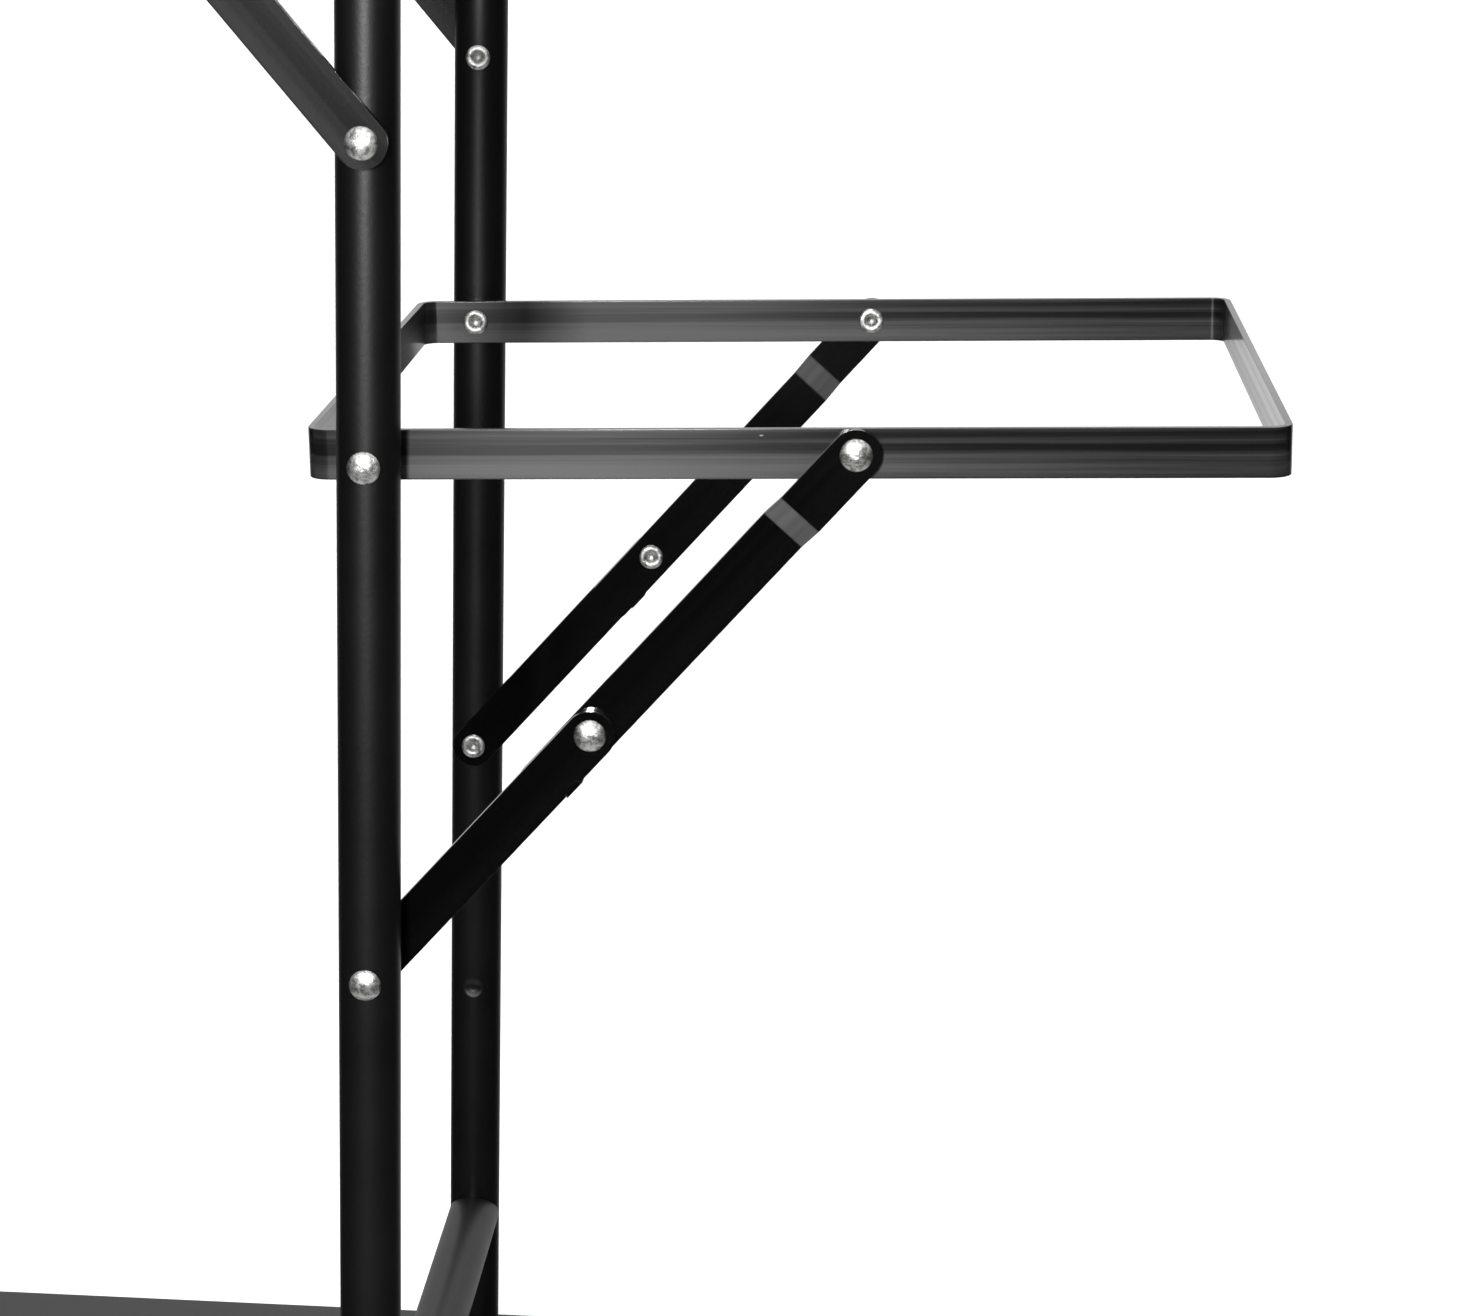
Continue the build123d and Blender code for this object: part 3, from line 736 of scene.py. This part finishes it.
class Frame(Enum):
    """The two folding frames, by the prefix of their nodes, with the way that each one faces."""

    TRAY = "tray"
    BAIL = "bail"

    @property
    def facing(self) -> int:
        """1 for the tray, which reaches forwards, and -1 for the bail."""
        return 1 if self is Frame.TRAY else -1

    @property
    def hinge(self) -> tuple[float, float]:
        """The frame's hinge line."""
        return pivot(f"{self.value}_fold")

    @property
    def top(self) -> tuple[float, float]:
        """The brace's upper pivot."""
        return pivot(f"right_{self.value}_brace_top")

    @property
    def elbow(self) -> tuple[float, float]:
        """The brace's elbow."""
        return pivot(f"right_{self.value}_brace_elbow")

    @property
    def foot(self) -> tuple[float, float]:
        """The brace's lower pivot, on the uprights."""
        return middle(f"{self.value}_brace_washers")

    @property
    def rise(self) -> float:
        """How far the frame rises from its hinge, in radians."""
        (x0, z0), (x1, z1) = self.hinge, self.top
        return math.atan2(z1 - z0, abs(x1 - x0))

    @property
    def slope(self) -> float:
        """The brace's angle above the level, in radians."""
        (x0, z0), (x1, z1) = self.foot, self.top
        return math.atan2(z1 - z0, abs(x1 - x0))

    def laid(self, at: tuple[float, float], angle: float) -> Matrix:
        """Places a shape drawn along +X with +Z across.

        Args:
            at: where its origin goes, as (x, z).
            angle: how far it points above the level, in radians.

        Returns:
            The matrix, mirrored front to back for the bail.
        """
        face = Matrix.Scale(self.facing, 4, (1, 0, 0))
        return Matrix.Translation((at[0], 0, at[1])) @ face @ Matrix.Rotation(-angle, 4, "Y")


@dataclass
class Finishes:
    """Every material of the stand."""

    coat: bpy.types.Material = field(default_factory=lambda: PowderCoat().make())
    nickel: bpy.types.Material = field(default_factory=lambda: NickelPlate().make())
    zinc: bpy.types.Material = field(default_factory=DULL_ZINC.make)
    oxide: bpy.types.Material = field(default_factory=BLACK_OXIDE.make)
    plastic: bpy.types.Material = field(default_factory=lambda: MouldedPlastic().make())
    rubber: bpy.types.Material = field(default_factory=lambda: GlideRubber().make())

    def frame_bar(self, which: Frame, ends: tuple[float, float]) -> bpy.types.Material:
        """The finish of one folding frame, its end bars beyond the given places along it."""
        turn = -which.facing * which.rise
        return RolledBar(f"{which.value}_bar", turn, which.hinge, ends=ends).make()

    def link_bar(self, which: Frame) -> bpy.types.Material:
        """The finish of one frame's brace links, darker than the frames; the tray links are painted near-black as
        painted shade and the bail links painted lighter as painted light.
        """
        # Painted shade and painted light: one link stock in two tones, near-black for the tray and lighter for the
        # bail.
        streaks = (0.0002, 0.0009) if which is Frame.TRAY else (0.0030, 0.0260)
        dark, light = ((grey,) * 3 for grey in streaks)
        return RolledBar(
            f"{which.value}_link_bar", -which.facing * which.slope, which.foot, dark=dark, light=light,
            metallic=0.0, specular=0.03, brushed=0.0, lacquer_roughness=0.09, lacquer_index=2.4,
        ).make()


def install(piece: bpy.types.Object, body: str, slot: str, *nodes: str) -> None:
    """Lets a piece ride on a body and hides the nodes that it stands for."""
    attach(piece, body)
    if nodes:
        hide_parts(*nodes)
    LOG.info("%s rides on %s", piece.name, body)


# ---- uprights and rails -------------------------------------------------------------------------
@dataclass
class Uprights:
    """The two round uprights and the two round rails between them."""

    measures: Measures
    finishes: Finishes
    wall: float = 1.5 * MM
    segments: int = 144
    dimple_drop: float = 128.0 * MM
    dimple_radius: float = 4.75 * MM
    dimple_depth: float = 1.6 * MM
    dimple_rim: float = 1.15
    dimple_fall: float = 0.95
    dimple_rows: int = 24

    def tube(self, length: float) -> bmesh.types.BMesh:
        """An open tube from the origin along +Z."""
        bm = bmesh.new()
        radius = self.measures.tube_radius
        for edge in (radius, radius - self.wall):
            bmesh.ops.create_circle(bm, cap_ends=False, segments=self.segments, radius=edge)
        bmesh.ops.bridge_loops(bm, edges=bm.edges[:])
        thickened(bm, (0, 0, length))
        bmesh.ops.recalc_face_normals(bm, faces=bm.faces)
        return bm

    def upright(self, side: int, node: str) -> bmesh.types.BMesh:
        """One upright with its drilled holes.

        Args:
            side: 1 for left and -1 for right.
            node: the node that it stands for.

        Returns:
            The shape in its place.
        """
        m = self.measures
        low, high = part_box(node)
        bm = moved(self.tube(high.z - low.z), Matrix.Translation((0, side * m.tube_middle, low.z)))
        cuts = []
        for height in [place[1] for which in Frame for place in (which.hinge, which.foot)]:
            ends = sorted((side * (m.tube_in - MM), side * (m.tube_out + MM)))
            cuts.append(drill(m.hole, (0.0, height), *ends))
            divided(bm, ((0, 0, height - 2 * m.hole), (0, 0, height + 2 * m.hole)), (0, 0, 1))
        bm = combined(bm, merged(cuts))
        self.press(bm, side)
        return bm

    def press(self, bm: bmesh.types.BMesh, side: int) -> None:
        """Presses a tube's dimple into its inner wall, both skins moving together."""
        m = self.measures
        height = Frame.TRAY.foot[1] - self.dimple_drop
        reach = self.dimple_radius * self.dimple_rim
        rows = range(self.dimple_rows + 1)
        places = [(0, 0, height - reach + 2 * reach * i / self.dimple_rows) for i in rows]
        divided(bm, places, (0, 0, 1))
        for v in bm.verts:
            inward = m.tube_middle - side * v.co.y
            away = math.hypot(v.co.x, v.co.z - height) / self.dimple_radius
            if inward > 0 and away < self.dimple_rim:
                share = min(1.0, (self.dimple_rim - away) / self.dimple_fall)
                v.co.y += side * self.dimple_depth * share * share * (3 - 2 * share)

    def rail(self, node: str) -> bmesh.types.BMesh:
        """One rail between the uprights, coped to both."""
        m = self.measures
        low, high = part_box(node)
        reach = m.tube_middle
        bm = moved(self.tube(2 * reach), Matrix.Rotation(math.radians(-90), 4, "X"))
        moved(bm, Matrix.Translation((0, -reach, (low.z + high.z) / 2)))
        posts = []
        for side in SIDES.values():
            post = bmesh.new()
            bmesh.ops.create_cone(
                post, cap_ends=True, segments=self.segments, radius1=m.tube_radius,
                radius2=m.tube_radius, depth=4 * m.tube_radius,
            )
            posts.append(moved(post, Matrix.Translation((0, side * reach, (low.z + high.z) / 2))))
        return combined(bm, merged(posts))

    def build(self) -> None:
        """Makes and installs the tubes."""
        for name, side in SIDES.items():
            node = f"{name}_upright"
            piece = finished(
                self.upright(side, node), f"{name}_upright_tube", self.finishes.coat, Edge.TUBE
            )
            install(piece, "stand", "black_coated_tube", node)
        for node in ("top_rail", "lower_rail"):
            piece = finished(self.rail(node), f"{node}_tube", self.finishes.coat, None)
            install(piece, "stand", "black_coated_tube", node)


# ---- folding frames -----------------------------------------------------------------------------
@dataclass
class FoldingFrame:
    """The tray frame or the bail: flat bar on edge, bent round a form at its corners."""

    which: Frame
    measures: Measures
    finishes: Finishes
    corner: float = 9.0 * MM
    corner_steps: int = 14
    end_share: float = 0.999
    end_steps: int = 24

    @property
    def node(self) -> str:
        """The frame's CAD node."""
        return f"{self.which.value}_frame"

    def span(self) -> tuple[float, float]:
        """Where the frame starts and ends along itself, from its hinge line."""
        low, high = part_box(self.node)
        rise = self.which.rise
        start, end = sorted((self.which.facing * low.x, self.which.facing * high.x))
        lean = self.measures.bar_width / 2 * math.sin(rise)
        return (start + lean) / math.cos(rise), (end - lean) / math.cos(rise)

    def ring(self, start: float, end: float, width: float) -> bmesh.types.BMesh:
        """A closed bar ring, drawn flat with its middle height at Z 0.

        Args:
            start: its rear outer face.
            end: its front outer face.
            width: over its side bars.

        Returns:
            The ring.
        """
        m = self.measures
        bm = bmesh.new()
        bmesh.ops.create_grid(bm, x_segments=1, y_segments=1, size=0.5)
        bmesh.ops.scale(bm, vec=(end - start, width, 1), verts=bm.verts)
        bmesh.ops.translate(bm, vec=((start + end) / 2, 0, -m.bar_width / 2), verts=bm.verts)
        bmesh.ops.bevel(
            bm, geom=bm.verts[:], offset=self.corner, offset_type="OFFSET", affect="VERTICES",
            segments=self.corner_steps, profile=0.5, material=-1,
        )
        inner = bm.faces[:]
        bmesh.ops.inset_region(bm, faces=inner, thickness=m.bar, use_even_offset=True, use_boundary=True)
        bmesh.ops.delete(bm, geom=inner, context="FACES")
        thickened(bm, (0, 0, m.bar_width))
        return bm

    def round_arms(self, bm: bmesh.types.BMesh) -> None:
        """Cuts a ring off past the hinge line and rounds both arm ends about it."""
        half = self.measures.bar_width / 2
        rims = trimmed(bm, (-half, 0, 0), (-1, 0, 0))
        corners = [e for e in rims if abs(e.verts[0].co.z - e.verts[1].co.z) < half]
        bmesh.ops.bevel(
            bm, geom=corners, offset=half * self.end_share, offset_type="OFFSET", affect="EDGES",
            segments=self.end_steps, profile=0.5, material=-1,
        )

    def build(self) -> None:
        """Makes and installs the frame."""
        m = self.measures
        tray = self.which is Frame.TRAY
        outer = m.tray_out if tray else m.bail_out
        start, end = self.span()
        bm = self.ring(start if tray else -4 * m.bar_width, end, 2 * outer)
        if not tray:
            self.round_arms(bm)
        reach = math.dist(self.which.hinge, self.which.top)
        drills = [
            drill(m.hole, (x, 0.0), *sorted((side * (outer - 2 * m.bar), side * (outer + m.bar))))
            for x in (0.0, reach) for side in SIDES.values()
        ]
        bm = moved(combined(bm, merged(drills)), self.which.laid(self.which.hinge, self.which.rise))
        ends = (start + m.bar, end - m.bar) if tray else (m.bar - end, PAST_EVERYTHING)
        finish = self.finishes.frame_bar(self.which, ends)
        piece = finished(bm, f"{self.which.value}_bar_frame", finish, Edge.BAR)
        install(piece, self.which.value, "black_flat_bar", self.node)


# ---- braces -------------------------------------------------------------------------------------
@dataclass
class Brace:
    """One frame's pair of two-link braces."""

    which: Frame
    measures: Measures
    finishes: Finishes
    tail: float = 29.5 * MM
    joggle: tuple[float, float] = (31.5 * MM, 43.5 * MM)
    joggle_steps: int = 24
    easing: float = 0.12
    stop_back: float = 21.0 * MM
    notch: float = 5.5 * MM
    notch_depth: float = 2.5 * MM
    stop_gap: float = 0.2 * MM
    end_steps: int = 96

    @property
    def lower_length(self) -> float:
        """Foot pivot to elbow."""
        return math.dist(self.which.foot, self.which.elbow)

    @property
    def upper_length(self) -> float:
        """Top pivot to elbow."""
        return math.dist(self.which.top, self.which.elbow)

    def slat(self, length: float) -> bmesh.types.BMesh:
        """A round-ended bar from the origin along +X, its faces square to Y and its low one at 0."""
        m = self.measures
        half = m.bar_width / 2
        bm = bmesh.new()
        flat = math.pi / self.end_steps
        turn = Matrix.Rotation(math.radians(90), 4, "X") @ Matrix.Rotation(flat, 4, "Z")
        radius = half / math.cos(flat)
        bmesh.ops.create_circle(bm, cap_ends=True, segments=self.end_steps, radius=radius, matrix=turn)
        ahead = [v for v in bm.verts if v.co.x > 0]
        bmesh.ops.translate(bm, verts=ahead, vec=(length, 0, 0))
        thickened(bm, (0, m.bar, 0))
        return bm

    def stop_centre(self) -> tuple[float, float]:
        """The stop notch's centre, from the foot pivot along and across the lower link."""
        half = self.measures.bar_width / 2
        return self.lower_length - self.stop_back, -(half - self.notch_depth + self.notch)

    def lower(self, low: float) -> bmesh.types.BMesh:
        """A lower link with its holes and stop notch, its low face at a given Y."""
        m = self.measures
        bm = moved(self.slat(self.lower_length), Matrix.Translation((0, low, 0)))
        reach = (low - m.bar, low + 2 * m.bar)
        holes = [drill(m.hole, (x, 0.0), *reach) for x in (0.0, self.lower_length)]
        notch = drill(self.notch, self.stop_centre(), *reach)
        return combined(bm, merged([*holes, notch]))

    def upper(self, top_low: float, foot_low: float, lip: tuple[float, float]) -> bmesh.types.BMesh:
        """An upper link: it steps sideways below its top pivot and hooks over the lower link's edge.

        Args:
            top_low: Y of the low face at the top pivot.
            foot_low: Y of the low face past the step.
            lip: Y of the two ends of the stop lip.

        Returns:
            The link, drawn from the top pivot along +X.
        """
        m = self.measures
        bm = moved(self.slat(self.upper_length + self.tail), Matrix.Translation((0, top_low, 0)))
        first, last = self.joggle
        cuts = range(self.joggle_steps + 1)
        divided(bm, [(first + (last - first) * i / self.joggle_steps, 0, 0) for i in cuts], (1, 0, 0))
        for v in bm.verts:
            v.co.y += (foot_low - top_low) * self.ramp((v.co.x - first) / (last - first))
        holes = [
            drill(m.hole, (x, 0.0), low - m.bar, low + 2 * m.bar)
            for x, low in ((0.0, top_low), (self.upper_length, foot_low))
        ]
        return combined(combined(bm, self.lip(lip), "UNION"), merged(holes))

    def ramp(self, share: float) -> float:
        """How much of the sidestep is done at a share of its length: straight, with eased ends."""
        share, ease = min(1.0, max(0.0, share)), self.easing
        if share > 0.5:
            return 1 - self.ramp(1 - share)
        if share < ease:
            return share * share / (2 * ease * (1 - ease))
        return (share - ease / 2) / (1 - ease)

    def lip(self, ends: tuple[float, float]) -> bmesh.types.BMesh:
        """The stop lip, drawn in the upper link's place: a rounded bar that fills the notch."""
        along, across = self.stop_centre()
        floor = -(self.measures.bar_width / 2 - self.notch_depth + self.stop_gap + self.measures.bar)
        bm = drill(self.notch - self.stop_gap, (along, across), *ends)
        trimmed(bm, (0, 0, floor), (0, 0, -1))
        turned = Matrix.Scale(-1, 4, (1, 0, 0))
        return moved(bm, Matrix.Translation((self.lower_length + self.upper_length, 0, 0)) @ turned)

    def build(self) -> None:
        """Makes and installs both braces' links."""
        m, which = self.measures, self.which
        finish = self.finishes.link_bar(which)
        name = which.value
        tray = which is Frame.TRAY
        link = m.tray_in if tray else m.bail_in
        over = link + m.bar + m.link_gap
        under = link - m.bar - m.link_gap
        top_low, foot_low = (over, under) if tray else (under, over)
        lip = (foot_low + m.bar / 2, link + m.bar) if tray else (link, foot_low + m.bar / 2)
        for word, side in SIDES.items():
            flip = Matrix.Scale(side, 4, (0, 1, 0))
            lower = moved(self.lower(link), which.laid(which.foot, which.slope) @ flip)
            back = which.laid(which.top, which.slope) @ Matrix.Scale(-1, 4, (1, 0, 0)) @ flip
            upper = moved(self.upper(top_low, foot_low, lip), back)
            for part, shape in (("lower", lower), ("upper", upper)):
                stem = f"{word}_{name}_{part}"
                piece = finished(shape, f"{stem}_brace_link", finish, Edge.LINK)
                install(piece, f"{stem}_brace", "black_flat_bar", f"{stem}_link")


# ---- rivets -------------------------------------------------------------------------------------
@dataclass
class Rivets:
    """Semi-tubular rivets: a domed factory head outside and a rolled end inside."""

    measures: Measures
    finishes: Finishes
    shank: float = 4.0 * MM
    head: float = 6.5 * MM
    head_height: float = 2.6 * MM
    rim: float = 0.6 * MM
    tail: float = 5.75 * MM
    tail_height: float = 1.3 * MM
    bore: float = 2.3 * MM
    bore_depth: float = 3.6 * MM
    bore_rise: float = 0.3 * MM
    roll_share: float = 0.35
    roll_steps: int = 10
    edge: float = 0.25 * MM
    crown_steps: int = 15
    crown_share: float = 0.985
    pit: float = 1.1 * MM
    pit_depth: float = 0.10 * MM
    dent_scale: float = 420.0
    dent_drift: float = 3.1
    dent_depth: float = 0.09 * MM
    dent_floor: float = 0.35
    segments: int = 72
    crease: float = 40.0

    def head_profile(self) -> list[tuple[float, float]]:
        """The head from its edge to its crown, with a rounded rim and a shallow centre dimple."""
        rise = self.head_height - self.rim
        ball = (self.head**2 + rise**2) / (2 * rise)
        edge = self.edge
        points = [(self.head - edge, 0.0), *arc((self.head - edge, edge), edge, -90.0, 20.0, 5)]
        for i in range(1, self.crown_steps):
            radius = self.head * (1 - i / self.crown_steps) * self.crown_share
            crown = self.head_height - ball + math.sqrt(ball**2 - radius**2)
            dip = self.pit_depth * max(0.0, 1 - (radius / self.pit) ** 2) ** 2
            points.append((radius, crown - dip))
        points.append((0.0, self.head_height - self.pit_depth))
        return points

    def tail_profile(self) -> list[tuple[float, float]]:
        """The rolled end from its outer edge round into its bore, downwards along -Z."""
        mid, half = (self.tail + self.bore) / 2, (self.tail - self.bore) / 2
        lip = self.tail_height * self.roll_share
        points = [(self.tail, 0.0)]
        for i in range(self.roll_steps + 1):
            angle = math.pi * i / self.roll_steps
            height = -lip - (self.tail_height - lip) * math.sin(angle)
            points.append((mid + half * math.cos(angle), height))
        floor = self.bore_depth - self.tail_height
        points += [(self.bore * 0.94, floor * 0.8), (self.bore * 0.6, floor)]
        return [*points, (0.0, floor + self.bore_rise)]

    def rivet(self, length: float, head: bool, tail: bool, seed: float) -> bmesh.types.BMesh:
        """One rivet with its head's seat at the origin and its shank along -Z.

        Args:
            length: from the head's seat to the tail's.
            head: whether it has its head.
            tail: whether it has its rolled end.
            seed: moves the noise that dents it.

        Returns:
            The closed solid.
        """
        profile = self.head_profile()[::-1] if head else [(0.0, 0.0)]
        profile += [(self.shank, 0.0), (self.shank, -length)]
        if tail:
            profile += [(radius, height - length) for radius, height in self.tail_profile()]
        else:
            profile.append((0.0, -length))
        bm = spun(profile, self.segments)
        for v in bm.verts:
            reach = Vector((v.co.x, v.co.y)).length
            if v.co.z > self.rim or v.co.z < -length - 0.1 * MM:
                x, y = v.co.x * self.dent_scale + seed, v.co.y * self.dent_scale
                dent = noise.noise(Vector((x, y, seed * self.dent_drift)))
                v.co.z += self.dent_depth * dent * min(1.0, self.dent_floor + reach / self.head)
        return bm

    def group(
        self, name: str, node: str, body: str, at: tuple[float, float], seats: tuple[float, float],
        head: bool = True, tail: bool = True, sides: Iterable[int] = (1, -1),
    ) -> None:
        """Makes and installs the rivets of one node.

        Args:
            name: the piece's name.
            node: the node that it stands for.
            body: the body that it rides on.
            at: the pivot, as (x, z).
            seats: distances of the outer and the inner seat from the mid-plane.
            head: whether they have heads.
            tail: whether they have rolled ends.
            sides: the sides that they are on.
        """
        outer, inner = seats
        shapes = []
        for side in sides:
            shape = self.rivet(outer - inner, head, tail, 17.0 * at[0] + 5.0 * at[1] + side)
            place = Matrix.Translation((at[0], side * outer, at[1])) @ on_side(side)
            shapes.append(moved(shape, place))
        piece = finished(merged(shapes), name, self.finishes.nickel, None, self.crease)
        install(piece, body, "nickel_rivet", node)

    def build(self) -> None:
        """Makes and installs every rivet."""
        m = self.measures
        link_washer = 2 * m.play
        tray, bail = Frame.TRAY, Frame.BAIL
        tray_top = m.tray_out + m.link_gap + m.bar + m.play
        bail_top = m.bail_in - m.link_gap - m.bar - m.play
        fixed = [
            ("tray_hinge", "stand", tray.hinge, (m.tube_out, m.tray_in - m.play), True, True),
            ("tray_brace", "stand", tray.foot, (m.tube_out, m.tray_out + link_washer), True, False),
            ("tray_frame", "tray", tray.top, (tray_top, m.tray_in), True, True),
            ("bail_hinge", "stand", bail.hinge, (m.bail_out + m.play, m.tube_in), True, True),
            ("bail_brace", "stand", bail.foot, (m.bail_in - link_washer, m.tube_in), False, True),
            ("bail_frame", "bail", bail.top, (m.bail_out, bail_top), True, True),
        ]
        for stem, body, at, seats, head, tail in fixed:
            self.group(f"{stem}_rivet_pair", f"{stem}_rivets", body, at, seats, head, tail)
        tray_elbow = (m.tray_out, m.tray_in - m.link_gap - m.bar - m.play)
        bail_elbow = (m.bail_out + m.link_gap + m.bar + m.play, m.bail_in)
        for word, side in SIDES.items():
            for which, seats in ((tray, tray_elbow), (bail, bail_elbow)):
                name = f"{word}_{which.value}"
                self.group(
                    f"{name}_elbow", f"{name}_elbow_rivet", f"{name}_lower_brace", which.elbow, seats,
                    sides=(side,),
                )
            self.group(
                f"{word}_tray_brace_foot", f"{word}_tray_brace_rivet_end", f"{word}_tray_lower_brace",
                tray.foot, (m.tray_out, m.tray_in), head=False, sides=(side,),
            )
            self.group(
                f"{word}_bail_brace_foot", f"{word}_bail_brace_rivet_head", f"{word}_bail_lower_brace",
                bail.foot, (m.bail_out, m.bail_in), tail=False, sides=(side,),
            )


# ---- kept nodes ---------------------------------------------------------------------------------
def dress_kept_nodes(finishes: Finishes) -> None:
    """Gives every node that stays as it is its finish."""
    dressed = {
        "black_coated_tube": finishes.coat,
        "zinc_washer": finishes.zinc,
        "black_screw": finishes.oxide,
        "black_plastic": finishes.plastic,
        "black_rubber": finishes.rubber,
    }
    for row in frame["record"]["subparts"]:
        node = frame["nodes"][row["node"]]
        finish = dressed.get(row["material_slot"])
        if finish and not node.hide_render:
            node.data.materials.clear()
            node.data.materials.append(finish)
            LOG.info("%s keeps its shape", row["node"])


# ---- studio -------------------------------------------------------------------------------------
@dataclass
class Studio:
    """The floor, the lights and the camera."""

    image_width: int = 1470
    lens_pixels: float = 3550.0
    sensor: float = 36.0
    eye: tuple = (0.2097, -1.5148, 0.8432)
    ahead: tuple = (-0.04714, 0.96538, -0.25653)
    up: tuple = (-0.03727, 0.25494, 0.96624)
    floor_reach: float = 60.0
    key_at: tuple = (-0.085, -1.65, 0.93)
    key_size: tuple = (0.18, 0.40)
    key_power: float = 28.0
    key_aim: tuple = (0.0, -0.17, 0.70)
    sun_strength: float = 2.6
    sun_spread: float = 50.0
    sun_lean: float = -18.0
    front: float = 0.012
    behind: tuple = (0.85, 0.60, 0.94)
    above: tuple = (0.9, 0.15, 0.7)
    below: tuple = (0.9, 0.52, 0.82)

    def camera(self) -> None:
        """Sets the camera at the viewing angle."""
        data = bpy.data.cameras.new("camera")
        data.sensor_width = self.sensor
        data.lens = self.sensor * self.lens_pixels / self.image_width
        data.clip_end = 200.0
        ahead = Vector(self.ahead).normalized()
        right = ahead.cross(Vector(self.up)).normalized()
        up = right.cross(ahead)
        turn = Matrix((right, up, -ahead)).transposed().to_4x4()
        camera = bpy.data.objects.new("camera", data)
        camera.matrix_world = Matrix.Translation(self.eye) @ turn
        bpy.context.scene.collection.objects.link(camera)
        bpy.context.scene.camera = camera

    def floor(self) -> None:
        """Lays a wide pale floor."""
        bm = bmesh.new()
        bmesh.ops.create_grid(bm, x_segments=2, y_segments=2, size=self.floor_reach)
        made, graph = material("pale_floor")
        mottle = graph.noise(graph.spot(), 3.0, 3.0)
        graph.surface(
            Base_Color=graph.colour(mottle, (0.86, 0.86, 0.86), (0.89, 0.89, 0.89)),
            Roughness=0.7 + 0.1 * mottle,
            Specular_IOR_Level=0.1,
        )
        floor = finished(bm, "floor", made, None)
        floor.visible_glossy = False

    def hang(self, name: str, kind: str, power: float, place: Matrix) -> bpy.types.Light:
        """Adds a light that the camera doesn't see, and returns its data."""
        data = bpy.data.lights.new(name, kind)
        data.energy = power
        light = bpy.data.objects.new(name, data)
        light.matrix_world = place
        light.visible_camera = False
        bpy.context.scene.collection.objects.link(light)
        return data

    def key(self) -> None:
        """Hangs a narrow upright softbox in line with the uprights."""
        facing = (Vector(self.key_aim) - Vector(self.key_at)).to_track_quat("-Z", "Y")
        place = Matrix.Translation(self.key_at) @ facing.to_matrix().to_4x4()
        data = self.hang("key", "AREA", self.key_power, place)
        data.shape, data.size, data.size_y = "RECTANGLE", *self.key_size

    def sun(self) -> None:
        """Adds a broad even light from overhead."""
        place = Matrix.Rotation(math.radians(self.sun_lean), 4, "X")
        data = self.hang("overhead", "SUN", self.sun_strength, place)
        data.angle = math.radians(self.sun_spread)

    def sky(self) -> None:
        """Surrounds the stand with a studio that is dark in front and bright on its other sides."""
        world = bpy.data.worlds.new("studio")
        bpy.context.scene.world = world
        world.use_nodes = True
        graph = Graph(world.node_tree)
        direction = graph.signal(graph.node("ShaderNodeTexCoord"), "Generated")
        parts = graph.node("ShaderNodeSeparateXYZ", None, {"Vector": direction})
        back, height = graph.signal(parts, "Y"), graph.signal(parts, "Z")
        level = self.front + self.behind[0] * back.step(*self.behind[1:])
        level = level.larger(self.above[0] * height.step(*self.above[1:]))
        level = level.larger(self.below[0] * (0.0 - height).step(*self.below[1:]))
        seen = graph.signal(graph.node("ShaderNodeLightPath"), "Is Camera Ray")
        level = level + seen * (1.0 - level)
        sky = graph.node("ShaderNodeBackground", None, {"Strength": level})
        graph.node("ShaderNodeOutputWorld", None, {"Surface": graph.signal(sky)})

    def build(self) -> None:
        """Sets up the whole studio."""
        bpy.context.scene.view_settings.view_transform = "Standard"
        self.camera()
        self.floor()
        self.sky()
        self.sun()
        self.key()


def main() -> None:
    """Builds the stand's looks and the studio round it."""
    logging.basicConfig(level=logging.INFO, format="%(name)s: %(message)s")
    measures, finishes = Measures(), Finishes()
    Studio().build()
    Uprights(measures, finishes).build()
    for which in Frame:
        FoldingFrame(which, measures, finishes).build()
        Brace(which, measures, finishes).build()
    Rivets(measures, finishes).build()
    dress_kept_nodes(finishes)


if __name__ == "__main__":
    main()
